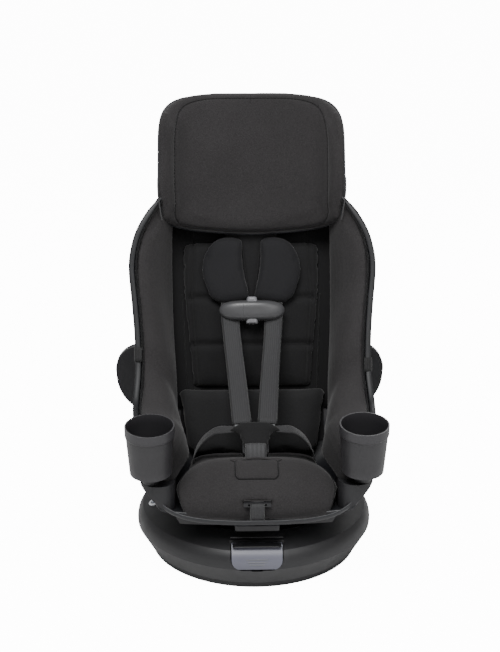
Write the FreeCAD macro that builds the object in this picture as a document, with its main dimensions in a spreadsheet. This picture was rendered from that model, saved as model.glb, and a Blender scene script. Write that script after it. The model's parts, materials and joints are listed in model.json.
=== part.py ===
"""Rotating convertible car seat, built as an assembly of separate named pieces.

Frame: millimetres, +Z up, the child faces -Y, +X is the child's left.
The origin is on the swivel axis, on the plane that the base stands on.
"""
import FreeCAD, Part
import math
import os
import Sketcher
from FreeCAD import Placement, Rotation, Vector

doc = FreeCAD.newDocument("car_seat")

# ---------------------------------------------------------------- driving dimensions
DIMENSIONS = {
    # round base
    "foot_r": 193, "tray_r": 197, "tray_h": 12, "tray_wall": 3,
    "housing_foot_r": 199, "bulge_r": 219, "bulge_z": 47, "ridge_r": 209, "ridge_z": 78,
    "lip_r": 168, "lip_z": 95, "housing_wall": 3.2,
    "well_opening_r": 120, "well_rho": 262,
    "rear_half_w": 165, "rear_y": 326, "rear_z": 86, "rear_start_y": 95,
    # steel frame and slewing bearing
    "tube_x": 60, "tube_w": 25, "tube_h": 14, "tube_z": 4, "tube_wall": 2,
    "plate_r": 118, "plate_bore": 20, "plate_z": 18.2, "plate_t": 2.8,
    "race_in": 92, "race_out": 108, "race_z": 21, "race_h": 6,
    "ball_r": 4, "ball_ring_r": 100, "ball_z": 29, "ball_play": 0.2, "ball_count": 30,
    "disc_r": 112, "disc_z": 31, "disc_h": 8, "hub_r": 18, "hub_low": 17.5, "hub_bore": 7,
    "nut_r": 30, "nut_low": 9.5, "plunger_low": 8.5, "wedge_slope": 0.16,
    # rocking recline
    "rock_z": 300, "cradle_rho": 240, "cradle_half_w": 92, "cradle_r": 114, "cradle_in_x": 84,
    "cradle_lip_x": 70, "cradle_top_rho": 222, "cradle_lip_rho": 230,
    "runner_in": 60, "runner_web": 66, "runner_out": 80, "runner_top": 214.5,
    "flange_in": 232, "flange_out": 238, "rack_half_w": 12, "rack_out": 236,
    # seat pod and shell
    "pod_rho": 255, "slot_half_w": 96, "slot_rho": 214,
    "lean": 21, "bight_y": 95, "bight_z": 150, "shell_wall": 4, "shell_back": 5,
    "shell_top": 515, "shoulder_w": 230, "waist_w": 218, "corner_r": 80, "foam_inset": 9, "ledge_r": 214,
    "inner_half_w": 141, "upper_flare": 0.52, "lower_flare": 0.45, "bolster_t": 26,
    # cushions
    "cushion_half_w": 138, "back_cover_t": 10, "back_pad_t": 36,
    # headrest
    "head_top": 676, "head_bottom": 402, "head_half_w": 176, "head_back": 39, "head_shell_t": 4,
    # cups
    "cup_x": 180, "cup_y": -210, "cup_z": 315, "cup_r": 42, "cup_foot_r": 36, "cup_h": 88, "cup_wall": 2.5,
    "cup_tilt": 6.6,
    # harness
    "strap_w": 34, "strap_t": 2, "buckle_angle": 29, "buckle_y": -128, "buckle_z": 222,
    # rebound panel
    "rebound_rho": 978, "rebound_t": 22, "rebound_wall": 3, "rebound_y": 338, "hoop_x": 80, "hoop_y": 346,
    "hoop_r": 5, "hoop_z": 262, "hoop_foot_z": 24,
    # lower anchor connectors
    "anchor_x": 140, "anchor_z": 37, "anchor_bar_r": 3.3,
}
sheet = doc.addObject("Spreadsheet::Sheet", "dims")
for row, (alias, value) in enumerate(DIMENSIONS.items(), 1):
    sheet.set(f"A{row}", alias)
    sheet.set(f"B{row}", str(value))
    sheet.setAlias(f"B{row}", alias)
doc.recompute()


def dim(alias):
    """The value of a cell of the sheet."""
    return float(sheet.get(alias))


PIECES = {}
GAP = 0.3  # clearance between neighbouring solids


def keep(obj, label):
    """Registers a sub-part under the name that its file gets."""
    obj.Label = label
    PIECES[label] = obj
    return obj


# ---------------------------------------------------------------- PartDesign helpers
def origin_plane(body, role):
    return next(o for o in body.Origin.OriginFeatures if o.Role == role)


def bind_point(sketch, line, end, axis, value):
    """Ties one coordinate of a vertex to a cell expression, or to the axis where it is zero."""
    if str(value) == "0":
        sketch.addConstraint(Sketcher.Constraint("PointOnObject", line, end, -2 if axis == "X" else -1))
        return
    number = Sketcher.Constraint(f"Distance{axis}", -1, 1, line, end, 1.0)
    index = sketch.addConstraint(number)
    sketch.setExpression(f"Constraints[{index}]", str(value))


def evaluate(value):
    """The number that an expression over the sheet gives, for a sketch's starting shape."""
    text = str(value).replace("dims.", "")
    total = 0.0
    for term in text.replace("-", "+-").split("+"):
        if term.strip():
            product = -1.0 if term.strip().startswith("-") else 1.0
            for factor in term.strip().lstrip("-").split("*"):
                name = factor.strip()
                product *= DIMENSIONS[name] if name in DIMENSIONS else float(name)
            total += product
    return total


def outline(body, plane, points):
    """A closed sketch of straight lines whose vertices are bound to the sheet."""
    sketch = body.newObject("Sketcher::SketchObject", body.Name + "_outline")
    sketch.AttachmentSupport = (origin_plane(body, plane), [""])
    sketch.MapMode = "FlatFace"
    at = [Vector(evaluate(x), evaluate(y), 0) for x, y in points]
    count = len(at)
    for i in range(count):
        sketch.addGeometry(Part.LineSegment(at[i], at[(i + 1) % count]), False)
    for i in range(count):
        sketch.addConstraint(Sketcher.Constraint("Coincident", i, 2, (i + 1) % count, 1))
    for i, (x, y) in enumerate(points):
        bind_point(sketch, i, 1, "X", x)
        bind_point(sketch, i, 1, "Y", y)
    return sketch


def turned(label, points):
    """A body of revolution about +Z from (radius, height) points."""
    body = doc.addObject("PartDesign::Body", label)
    sketch = outline(body, "XZ_Plane", points)
    turn = body.newObject("PartDesign::Revolution", label + "_turn")
    turn.Profile = sketch
    turn.ReferenceAxis = (sketch, ["V_Axis"])
    turn.Angle = 360
    doc.recompute()
    return body


def padded(label, plane, points, depth, midplane=True):
    """A body padded from a straight-sided outline on one of its origin planes."""
    body = doc.addObject("PartDesign::Body", label)
    sketch = outline(body, plane, points)
    pad = body.newObject("PartDesign::Pad", label + "_pad")
    pad.Profile = sketch
    pad.Midplane = midplane
    pad.setExpression("Length", str(depth))
    doc.recompute()
    return body


def rounded(body, radius, pick):
    """Fillets the edges of a body's tip that pick(edge) chooses."""
    tip = body.Tip
    names = [f"Edge{i}" for i, e in enumerate(tip.Shape.Edges, 1) if pick(e)]
    fillet = body.newObject("PartDesign::Fillet", body.Name + "_round")
    fillet.Base = (tip, names)
    fillet.Radius = radius
    doc.recompute()
    return body


def along(direction):
    """Picks straight edges that run along a direction."""
    return lambda e: len(e.Vertexes) == 2 and abs(e.tangentAt(e.FirstParameter).dot(direction)) > 0.999


# ---------------------------------------------------------------- Part helpers
X, Y, Z = Vector(1, 0, 0), Vector(0, 1, 0), Vector(0, 0, 1)


def feature(label, shape, place=None):
    """A Part feature from a computed shape, with its placement set after it."""
    obj = doc.addObject("Part::Feature", label)
    obj.Shape = shape
    if place is not None:
        obj.Placement = place.multiply(obj.Placement)
    return obj


def block(x0, x1, y0, y1, z0, z1):
    return Part.makeBox(x1 - x0, y1 - y0, z1 - z0, Vector(x0, y0, z0))


def cylinder(radius, height, at, direction=Z):
    return Part.makeCylinder(radius, height, at, direction)


def prism(points, direction, start, stop, swap):
    """Extrudes a closed outline from start to stop along direction; swap turns each (a, b) into a point.
    An entry of the outline may be ("arc", via, end) for a round stretch."""
    edges, first, last = [], None, None
    for p in list(points) + ["close"]:
        if p == "close":
            if (first - last).Length > 1e-6:
                edges.append(Part.LineSegment(last, first).toShape())
        elif p[0] == "arc":
            edges.append(Part.Arc(last, swap(*p[1]), swap(*p[2])).toShape())
            last = swap(*p[2])
        else:
            here = swap(*p)
            if last is None:
                first = here
            else:
                edges.append(Part.LineSegment(last, here).toShape())
            last = here
    face = Part.Face(Part.Wire(edges))
    face.translate(direction * start)
    return face.extrude(direction * (stop - start))


def side_prism(points, half_width):
    """(y, z) outline extruded across the seat."""
    return prism(points, X, -half_width, half_width, lambda a, b: Vector(0, a, b))


def front_prism(points, y0, y1):
    """(x, z) outline extruded from front to rear."""
    return prism(points, Y, y0, y1, lambda a, b: Vector(a, 0, b))


def level_prism(points, z0, z1):
    """(x, y) outline extruded upwards."""
    return prism(points, Z, z0, z1, lambda a, b: Vector(a, b, 0))


def mirrored(points):
    """Closes a right-hand outline with its mirror image; arcs keep their middle point."""
    left, previous = [], None
    stops = [p[2] if p[0] == "arc" else p for p in points]
    for i in range(len(points) - 1, 0, -1):
        end = stops[i - 1]
        if points[i][0] == "arc":
            left.append(("arc", (-points[i][1][0], points[i][1][1]), (-end[0], end[1])))
        else:
            left.append((-end[0], end[1]))
    start = stops[-1]
    seam = [] if abs(start[0]) < 1e-9 else [(-start[0], start[1])]
    if abs(stops[0][0]) < 1e-9:
        left = left[:-1] if left and left[-1][0] != "arc" else left
    return list(points) + seam + left


def largest(shape):
    """The largest solid of a cut or a common part."""
    return max(shape.Solids, key=lambda s: s.Volume)


def flip(shape):
    """The mirror image across the plane x = 0."""
    return shape.mirror(Vector(0, 0, 0), X)


def ruled(sections):
    """A solid through four-cornered sections, each a list of points."""
    wires = [Part.makePolygon(s + [s[0]]) for s in sections]
    return Part.makeLoft(wires, True, True)


def ribbon(centres, across, thickness_dir, width, thickness):
    """A strap: a flat band through centre points, with its width and thickness directions at each."""
    sections = []
    for c, a, t in zip(centres, across, thickness_dir):
        a = a.normalize() * (width / 2)
        t = t.normalize() * (thickness / 2)
        sections.append([c - a - t, c + a - t, c + a + t, c - a + t])
    return ruled(sections)


# ---------------------------------------------------------------- shared places
LEAN = dim("lean")
BACK = Placement(Vector(0, dim("bight_y"), dim("bight_z")), Rotation(X, -LEAN))
ROCK = Vector(0, 0, dim("rock_z"))
UP_BACK = BACK.Rotation.multVec(Z)
FORWARD_BACK = BACK.Rotation.multVec(Vector(0, -1, 0))


def on_back(x, height, depth):
    """A point given by its place on the back plane and its distance in front of it."""
    return BACK.multVec(Vector(x, -depth, height))


def rock_drum(rho, half_width):
    """A drum about the recline axis."""
    return cylinder(rho, 2 * half_width, Vector(-half_width, 0, dim("rock_z")), X)


def rock_band(inner, outer, x0, x1, low_deg, high_deg):
    """An arc-shaped bar about the recline axis. Angles are from straight down, positive to the rear."""
    def at(rho, deg):
        a = math.radians(deg)
        return (rho * math.sin(a), dim("rock_z") - rho * math.cos(a))
    middle = (low_deg + high_deg) / 2
    points = [at(outer, low_deg), ("arc", at(outer, middle), at(outer, high_deg)),
              at(inner, high_deg), ("arc", at(inner, middle), at(inner, low_deg))]
    return prism(points, X, x0, x1, lambda a, b: Vector(0, a, b))


# ---------------------------------------------------------------- base
def base_feet():
    """Six rubber strips: four under the round base and two under its rear."""
    half_length, half_width, thickness = 25, 8, 2
    places = [(105, 105), (105, -105), (120, 300)]
    pads = [block(side * x - half_length, side * x + half_length, y - half_width, y + half_width, 0, thickness)
            for side in (-1, 1) for x, y in places]
    return Part.makeCompound(pads)


def base_tray():
    h, w = dim("tray_h"), dim("tray_wall")
    rear = dim("rear_y") - 4
    half = dim("rear_half_w") - 3
    outer = Part.makeCone(dim("foot_r"), dim("tray_r"), h).fuse(block(-half, half, 0, rear, 0, h))
    inner = Part.makeCone(dim("foot_r") - w, dim("tray_r") - w, h, Vector(0, 0, w))
    inner = inner.fuse(block(w - half, half - w, 0, rear - w, w, h + w))
    return outer.cut(inner).cut(base_feet())


def bowl_point(rho, r):
    """A point of the bowl under the seat, a sphere of radius rho about the recline axis."""
    return (r, dim("rock_z") - math.sqrt(rho * rho - r * r))


def ring_side(grow):
    """The bulging outer wall of the round housing, from the bulge over the ridge to the shoulder."""
    ridge = (dim("ridge_r") - 0.8 * grow, dim("ridge_z") - 0.9 * grow)
    return [(dim("bulge_r") - grow, dim("bulge_z")),
            ("arc", (dim("bulge_r") - grow - 1.5, dim("bulge_z") + 17), ridge),
            (dim("lip_r") + 4, dim("lip_z") - 2 - grow)]


def ring_bowl(grow):
    """The inner wall of the round housing, from its lip down to the opening in the bowl."""
    rho, lip, opening = dim("well_rho") + grow, 163 - grow, dim("well_opening_r") + grow
    return [bowl_point(rho, lip),
            ("arc", bowl_point(rho, (lip + opening) / 2), bowl_point(rho, opening))]


def ring_outer():
    """The half section of the round housing's outside."""
    low = dim("tray_h") + GAP
    return ([(dim("well_opening_r"), low + 10), (dim("housing_foot_r"), low)] + ring_side(0)
            + [(dim("lip_r") - 2, dim("lip_z"))] + ring_bowl(0))


def ring_cavity(wall):
    """The half section of the hollow inside the round housing."""
    low = dim("tray_h") + GAP - 2 * wall
    return ([(dim("well_opening_r") + wall, low), (dim("housing_foot_r") - wall, low)]
            + ring_side(wall) + ring_bowl(wall))


def turned_solid(points):
    """A solid turned about +Z from a half section whose stretches may be arcs."""
    edges, first, last = [], None, None
    for p in points:
        end = p[2] if p[0] == "arc" else p
        here = Vector(end[0], 0, end[1])
        if last is None:
            first = here
        elif p[0] == "arc":
            edges.append(Part.Arc(last, Vector(p[1][0], 0, p[1][1]), here).toShape())
        else:
            edges.append(Part.LineSegment(last, here).toShape())
        last = here
    edges.append(Part.LineSegment(last, first).toShape())
    return Part.Face(Part.Wire(edges)).revolve(Vector(0, 0, 0), Z, 360)


HANDLE_HALF_W = 44
HANDLE_BACK_Y = -198


def rear_block(half, y1, z0, z1, radius, round_from):
    """The rear of the housing or of its cavity: a block with rounded top and rear edges, open to the ring."""
    y0 = dim("rear_start_y")
    solid = block(-half, half, y0, y1, z0, z1)
    upper = [e for e in solid.Edges if e.CenterOfMass.z > z1 - 1 and e.CenterOfMass.y > y0 + 1]
    posts = [e for e in solid.Edges
             if abs(e.CenterOfMass.y - y1) < 1 and round_from < e.CenterOfMass.z < z1 - 1]
    return solid.makeFillet(radius, upper + posts)


def base_housing():
    w, half, rear, top = dim("housing_wall"), dim("rear_half_w"), dim("rear_y"), dim("rear_z")
    low, inner_lip = dim("tray_h") + GAP, dim("lip_r") - 2
    solid = rear_block(half, rear, low, top, 16, low + 1).cut(cylinder(inner_lip, 200, Vector(0, 0, 0)))
    cavity = rear_block(half - w, rear - w, low - w, top - w, 13, low)
    cavity = cavity.cut(cylinder(inner_lip + w, 200, Vector(0, 0, 0)))
    shape = turned_solid(ring_outer()).fuse(solid).cut(turned_solid(ring_cavity(w)).fuse(cavity))
    shape = shape.cut(handle_face(2, 110, HANDLE_BACK_Y + 12))
    shape = shape.cut(block(-10, 10, -240, HANDLE_BACK_Y + 12, 44, 60))
    guide = block(-HANDLE_HALF_W - 4, HANDLE_HALF_W + 4, HANDLE_BACK_Y + 9, HANDLE_BACK_Y + 12, 30, 90)
    guide = guide.cut(block(-9, 9, -200, -180, 43, 57))
    mount = block(-112, 112, rear - 0.5, rear + 20, 14, 58).common(rebound_slab(1, dim("rebound_rho") - GAP))
    shape = shape.fuse(guide).fuse(mount)
    for side in (-1, 1):
        x, z = side * dim("anchor_x"), dim("anchor_z")
        shape = shape.cut(block(x - 12, x + 12, rear - 20, rear + 5, z - 7, z + 7))
        foot = Vector(side * dim("hoop_x"), rear - 30, dim("hoop_foot_z"))
        shape = shape.cut(cylinder(dim("hoop_r") + 0.6, 60, foot, Y))
    return shape.cut(cylinder(9.5, 40, level_point(-20), level_normal()))


def level_point(offset):
    """A point of the level indicator's axis, offset above the housing's surface."""
    return Vector(-185, -30, 86) + level_normal() * offset


def level_normal():
    """The way that the level indicator faces."""
    return Vector(-0.36, -0.06, 0.93).normalize()


def handle_face(grow, top, rear):
    """The recline handle's face, with a rounded lower edge, as seen from the front."""
    half = HANDLE_HALF_W + grow
    return front_prism([(-half, top), (-half, 70), ("arc", (-38 - grow, 54 - grow), (-18, 48 - grow)),
                        (18, 48 - grow), ("arc", (38 + grow, 54 - grow), (half, 70)), (half, top)], -240, rear)


def handle_shape():
    side = side_prism([(HANDLE_BACK_Y, 52), (HANDLE_BACK_Y, 90), (-204, 90), (-214, 80),
                       ("arc", (-222.5, 62), (-221, 50)), (-214, 47)], HANDLE_HALF_W + 1)
    return side.common(handle_face(0, 95, -190))


def base_frame():
    """Two square tubes with three cross-members, and an opening that the recline rod passes."""
    x, w, z, h, wall = dim("tube_x"), dim("tube_w"), dim("tube_z"), dim("tube_h"), dim("tube_wall")
    members = [block(-x, x, y - 10, y + 10, z, z + h) for y in (-130, 130, 250)]
    tubes = [block(side * x - w / 2, side * x + w / 2, -150, 316, z, z + h) for side in (-1, 1)]
    bores = [block(side * x - w / 2 + wall, side * x + w / 2 - wall, -152, 318, z + wall, z + h - wall)
             for side in (-1, 1)]
    frame = tubes[0].multiFuse([tubes[1]] + members)
    return frame.cut(bores[0]).cut(bores[1]).cut(block(-9, 9, -145, -115, z - 1, z + 4)).removeSplitter()


def bearing_balls():
    """The ring of balls that the seat turns on."""
    ring, count = dim("ball_ring_r"), int(dim("ball_count"))
    angles = [2 * math.pi * i / count for i in range(count)]
    return Part.makeCompound([Part.makeSphere(dim("ball_r"), Vector(ring * math.cos(a), ring * math.sin(a),
                                                                    dim("ball_z"))) for a in angles])


def grooved(label, blank):
    """Cuts the ring groove that the balls run in."""
    groove = doc.addObject("Part::Torus", label + "_groove")
    groove.setExpression("Radius1", "dims.ball_ring_r")
    groove.setExpression("Radius2", "dims.ball_r + dims.ball_play")
    groove.Placement.Base = Vector(0, 0, dim("ball_z"))
    cut = doc.addObject("Part::Cut", label)
    cut.Base, cut.Tool = blank, groove
    return keep(cut, label)


def rebound_outline(inset):
    """The shield outline of the rebound panel, drawn in by inset."""
    k = inset
    right = [(0, 308 - k), ("arc", (130, 301 - k), (236 - k, 281 - k)),
             ("arc", (271 - k, 262 - k), (279 - k, 226)), ("arc", (272 - k, 188), (248 - 1.2 * k, 152)),
             (172 - k, 68 + k), (116 - k, 60 + k), (116 - k, 20 + k)]
    return mirrored(right)


def rebound_slab(inner, outer):
    """The room between two upright drums that the rebound panel's faces curve with."""
    centre = Vector(0, dim("rebound_y") - dim("rebound_rho"), -20)
    return cylinder(outer, 400, centre).cut(cylinder(inner, 400, centre))


def rebound_halves():
    """The rebound panel's two moulded halves, hollow inside."""
    rho, t, w = dim("rebound_rho"), dim("rebound_t"), dim("rebound_wall")
    whole = front_prism(rebound_outline(0), 200, 420).common(rebound_slab(rho, rho + t))
    hollow = front_prism(rebound_outline(w), 200, 420).common(rebound_slab(rho + w, rho + t - w))
    skin = whole.cut(hollow)
    front = skin.common(rebound_slab(rho - 5, rho + t / 2))
    rear = skin.common(rebound_slab(rho + t / 2 + GAP, rho + t + 5))
    for side in (-1, 1):
        foot = Vector(side * dim("hoop_x"), 325, dim("hoop_foot_z"))
        front = front.cut(cylinder(dim("hoop_r") + 2.5, 20, foot, Y))
    return front, rear


def hoop():
    """The steel hoop inside the rebound panel, with two feet that enter the base."""
    x, y, z, bend = dim("hoop_x"), dim("hoop_y"), dim("hoop_z"), 12
    foot_z, foot_y = dim("hoop_foot_z"), 270

    def corner(a, b, c, r):
        before, after = (b - a).normalize(), (c - b).normalize()
        start, stop = b - before * r, b + after * r
        middle = b + (after - before).normalize() * (r * (math.sqrt(2) - 1))
        return start, middle, stop
    path = [Vector(-x, foot_y, foot_z), Vector(-x, y, foot_z), Vector(-x, y, z), Vector(x, y, z),
            Vector(x, y, foot_z), Vector(x, foot_y, foot_z)]
    edges, last = [], path[0]
    for i in range(1, len(path) - 1):
        start, middle, stop = corner(path[i - 1], path[i], path[i + 1], bend)
        edges.append(Part.LineSegment(last, start).toShape())
        edges.append(Part.Arc(start, middle, stop).toShape())
        last = stop
    edges.append(Part.LineSegment(last, path[-1]).toShape())
    section = Part.Wire(Part.Circle(path[0], Y, dim("hoop_r")).toShape())
    return Part.Wire(edges).makePipeShell([section], True, True)


def latch_arms():
    """The sliding yoke that carries both lower anchor connectors."""
    x, z = dim("anchor_x"), dim("anchor_z")
    shape = block(-x - 10, x + 10, 226, 240, z - 5, z + 5)
    for side in (-1, 1):
        shape = shape.fuse(block(side * x - 10, side * x + 10, 226, 345, z - 5, z + 5))
    return shape.removeSplitter()


def latch_head(side):
    """A connector head: a jaw open to the rear, with a seat for the release button on top."""
    x, z = side * dim("anchor_x"), dim("anchor_z")
    shape = block(x - 14, x + 14, 329, 376, z - 17, z + 17)
    shape = shape.makeFillet(4, [e for e in shape.Edges if along(Y)(e)])
    jaw = cylinder(dim("anchor_bar_r"), 40, Vector(x - 20, 360, z), X)
    jaw = jaw.fuse(block(x - 20, x + 20, 360, 380, z - dim("anchor_bar_r"), z + dim("anchor_bar_r")))
    arm = block(x - 10.2, x + 10.2, 320, 345.3, z - 5.2, z + 5.2)
    seat = block(x - 8, x + 8, 334, 352, z + 9, z + 20)
    return shape.cut(jaw).cut(arm).cut(seat)


def latch_button(side):
    x, z = side * dim("anchor_x"), dim("anchor_z")
    return block(x - 7.5, x + 7.5, 334.5, 351.5, z + 13, z + 20)


def build_base():
    keep(feature("base_tray", base_tray()), "base_tray")
    keep(feature("base_feet", base_feet()), "base_feet")
    keep(feature("base_housing", base_housing()), "base_housing")
    keep(feature("base_frame", base_frame()), "base_frame")
    plate_top = "dims.plate_z + dims.plate_t"
    plate = [("dims.plate_bore", "dims.plate_z"), ("dims.plate_r", "dims.plate_z"), ("dims.plate_r", plate_top),
             ("dims.plate_bore", plate_top)]
    keep(turned("bearing_plate", plate), "bearing_plate")
    race_top = "dims.race_z + dims.race_h"
    race = turned("race_blank", [("dims.race_in", "dims.race_z"), ("dims.race_out", "dims.race_z"),
                                 ("dims.race_out", race_top), ("dims.race_in", race_top)])
    grooved("bearing_race", race)
    keep(feature("bearing_balls", bearing_balls()), "bearing_balls")
    front, rear = rebound_halves()
    keep(feature("rebound_panel_front", front), "rebound_panel_front")
    keep(feature("rebound_panel_rear", rear), "rebound_panel_rear")
    keep(feature("rebound_hoop", hoop()), "rebound_hoop")
    n = level_normal()
    bezel = cylinder(9.2, 12, level_point(-8), n).fuse(cylinder(11, 1.5, level_point(2.5), n))
    tube = cylinder(6.2, 8, level_point(-5), n).fuse(cylinder(7.2, 4.2, level_point(2), n))
    keep(feature("level_bezel", bezel.cut(tube).cut(base_housing())), "level_bezel")
    keep(feature("level_lens", cylinder(6.9, 1.6, level_point(2.3), n)), "level_lens")
    keep(feature("level_ball", Part.makeSphere(3.4, level_point(-1.35))), "level_ball")
    keep(feature("latch_arms", latch_arms()), "latch_arms")
    for side, sign in (("left", 1), ("right", -1)):
        keep(feature(f"latch_head_{side}", latch_head(sign)), f"latch_head_{side}")
        keep(feature(f"latch_button_{side}", latch_button(sign)), f"latch_button_{side}")


# ---------------------------------------------------------------- recline handle and its plunger
def build_recline_control():
    keep(feature("recline_handle", handle_shape()), "recline_handle")
    low, slope = dim("tray_wall") + 0.4, dim("wedge_slope")
    wedge_front, wedge_rear = -7, 20
    contact = dim("plunger_low") - GAP

    def wedge_top(y):
        return contact - slope * (y + dim("hub_bore"))
    wedge = side_prism([(wedge_front, low), (wedge_rear, low), (wedge_rear, wedge_top(wedge_rear)),
                        (wedge_front, wedge_top(wedge_front))], 7)
    rod = block(-7, 7, HANDLE_BACK_Y + 0.3, -167, 46, 54).fuse(block(-7, 7, -173, -167, low, 54))
    rod = rod.fuse(block(-7, 7, -173, wedge_front, low, low + 2)).fuse(wedge)
    keep(feature("recline_rod", rod.removeSplitter()), "recline_rod")
    tip_z = dim("rock_z") - dim("flange_out") - 0.5
    low = dim("plunger_low")
    plunger = cylinder(dim("hub_bore") - 0.3, tip_z - low, Vector(0, 0, low))
    keep(feature("recline_plunger", plunger), "recline_plunger")


# ---------------------------------------------------------------- turntable
def build_turntable():
    top = "dims.disc_z + dims.disc_h"
    blank = turned("disc_blank", [("dims.hub_bore", "dims.hub_low"), ("dims.hub_r", "dims.hub_low"),
                                  ("dims.hub_r", "dims.disc_z"), ("dims.disc_r", "dims.disc_z"),
                                  ("dims.disc_r", top), ("dims.hub_bore", top)])
    grooved("turntable_disc", blank)
    keep(turned("hub_nut", [("dims.hub_bore + 1", "dims.nut_low"), ("dims.nut_r", "dims.nut_low"),
                            ("dims.nut_r", "dims.hub_low - 0.3"), ("dims.hub_bore + 1", "dims.hub_low - 0.3")]),
         "hub_nut")
    half, rho = dim("cradle_half_w"), dim("cradle_rho")
    low = dim("disc_z") + dim("disc_h")
    shape = block(-half, half, -130, 130, low, 130).common(cylinder(dim("cradle_r"), 200, Vector(0, 0, 0)))
    shape = shape.cut(rock_drum(dim("cradle_top_rho"), half + 5))
    x_in, x_lip = dim("cradle_in_x"), dim("cradle_lip_x")
    shape = shape.cut(rock_drum(rho, x_in).cut(rock_drum(dim("cradle_lip_rho"), x_in)))
    shape = shape.cut(rock_drum(rho, x_lip)).cut(cylinder(dim("hub_bore"), 200, Vector(0, 0, 0)))
    keep(feature("recline_cradle", shape), "recline_cradle")


# ---------------------------------------------------------------- seat shell
def back_yz(height, depth):
    """The (y, z) place of a point in the back frame."""
    p = on_back(0, height, depth)
    return (p.y, p.z)


def shell_side_outline(back, bottom, front):
    """The chair-shaped side view: back and bottom walls drawn in, front edge pushed out.
    With front above zero the top and the front lip open, as the hollow of the shell needs."""
    k, f = bottom, front
    top = dim("shell_top") + (60 if f else 0)
    lip = -214 - f if f else -214 + k
    return [(lip, 150 + k), (-110, 120 + k), (-60, 97 + k), (0, 88 + k), (60, 97 + k),
            (92 - 0.6 * k, 112 + k), back_yz(-12 + k, -back), back_yz(top, -back),
            back_yz(top, 40 + f), back_yz(466, 130 + f), back_yz(405, 132 + f),
            back_yz(300, 128 + f), back_yz(210, 126 + f), (22 - f, 330), (-20 - f, 288 + 0.3 * f),
            (-95, 258 + f), (-160 - 0.5 * f, 226 + f), (-204 - f, 190 + 0.5 * f)]


def shell_front_outline(inset):
    """The outline of the back seen square on, in the back frame."""
    k = inset
    right = [(0, dim("shell_top") - k), ("arc", (100, 506 - k), (170 - 0.7 * k, 470 - 0.7 * k)),
             ("arc", (222 - 0.9 * k, 392), (dim("shoulder_w") - k, 330)),
             ("arc", (221 - k, 250), (dim("waist_w") - k, 150)), (222 - k, 60), (222 - k, -400), (0, -400)]
    return mirrored(right)


def shell_low_outline(inset):
    """The section of the seat seen from the front, narrowing to the underside."""
    k = inset
    right = [(0, 60), (110, 84), (150 - 0.8 * k, 132 + 0.3 * k), (192 - 0.9 * k, 205), (214 - k, 262),
             (223 - k, 300), (260, 400), (260, 900), (0, 900)]
    return mirrored(right)


def back_prism(points, depth0, depth1):
    """(x, height) outline on the back plane, extruded between two distances in front of it."""
    shape = prism(points, Y, -depth1, -depth0, lambda a, b: Vector(a, 0, b))
    shape.Placement = BACK.multiply(shape.Placement)
    return shape


def across_prism(points, height0, height1):
    """(x, depth) outline extruded up the back."""
    shape = prism(points, Z, height0, height1, lambda a, b: Vector(a, -b, 0))
    shape.Placement = BACK.multiply(shape.Placement)
    return shape


def shell_corner(inset):
    """The section across the back, with rounded rear corners."""
    radius = dim("corner_r") - inset
    x0, depth0 = dim("shoulder_w") - dim("corner_r"), dim("corner_r") - dim("shell_back")
    lean = radius * math.sqrt(0.5)
    return mirrored([(0, -60), (x0, -60), (x0, depth0 - radius),
                     ("arc", (x0 + lean, depth0 - lean), (x0 + radius, depth0)), (262, depth0 + 30), (262, 900),
                     (0, 900)])


def shell_block(back, bottom, front, inset):
    """The seat's body: its side view, its section, its front view and its underside combined."""
    shape = side_prism(shell_side_outline(back, bottom, front), 260)
    shape = shape.common(across_prism(shell_corner(inset), -300, 760))
    shape = shape.common(back_prism(shell_front_outline(inset), -60, 700))
    return shape.common(front_prism(shell_low_outline(inset), -400, 500))


def interior(grow, start):
    """The room between the bolsters: a flared trough up the back, and another along the seat."""
    half, reach, rise = dim("inner_half_w") + grow, 320, 500
    wide = half + dim("upper_flare") * reach
    upper = across_prism([(-half, start), (half, start), (wide, start + reach), (-wide, start + reach)], -40, 760)
    wide = half + dim("lower_flare") * rise
    lower = front_prism([(-half, 60), (half, 60), (half, 150), (wide, 150 + rise), (-wide, 150 + rise),
                         (-half, 150)], -320, 92)
    return upper.fuse(lower)


def stem_slot(grow):
    """The slot at the top of the back that the headrest's neck slides in."""
    return back_prism([(-28 - grow, 402), (28 + grow, 402), (28 + grow, 560), (-28 - grow, 560)], -30, 40)


def build_shell():
    w = dim("shell_wall")
    outer = shell_block(dim("shell_back"), 0, 0, 0)
    inner = shell_block(0, w, 60, w)
    half, reach = dim("inner_half_w") + dim("bolster_t") + GAP, 300
    wide = half + dim("upper_flare") * reach
    mouth = across_prism([(-half, 8), (half, 8), (wide, 8 + reach), (-wide, 8 + reach)], 430, 760)
    shell = outer.cut(inner).cut(stem_slot(0)).cut(mouth)
    keep(feature("seat_shell", shell), "seat_shell")
    room = shell_block(-GAP, w + GAP, 0, w + GAP)
    t = dim("bolster_t")
    sides = room.cut(interior(0, 8))
    foam = sides.cut(interior(t + GAP, -1)).common(block(-400, 400, -400, 400, 150, 640))
    foam = foam.common(across_prism(shell_corner(dim("foam_inset")), -300, 760))
    pad = sides.common(interior(t, 8)).common(block(-400, 400, -400, 400, 128, 640))
    foams = []
    for side, sign in (("left", 1), ("right", -1)):
        half = block(20 if sign > 0 else -400, 400 if sign > 0 else -20, -400, 400, 0, 900)
        foams.append(largest(foam.common(half)))
        keep(feature(f"bolster_{side}", largest(pad.common(half))), f"bolster_{side}")
    keep(feature("impact_foam", Part.makeCompound(foams)), "impact_foam")
    return outer


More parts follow.
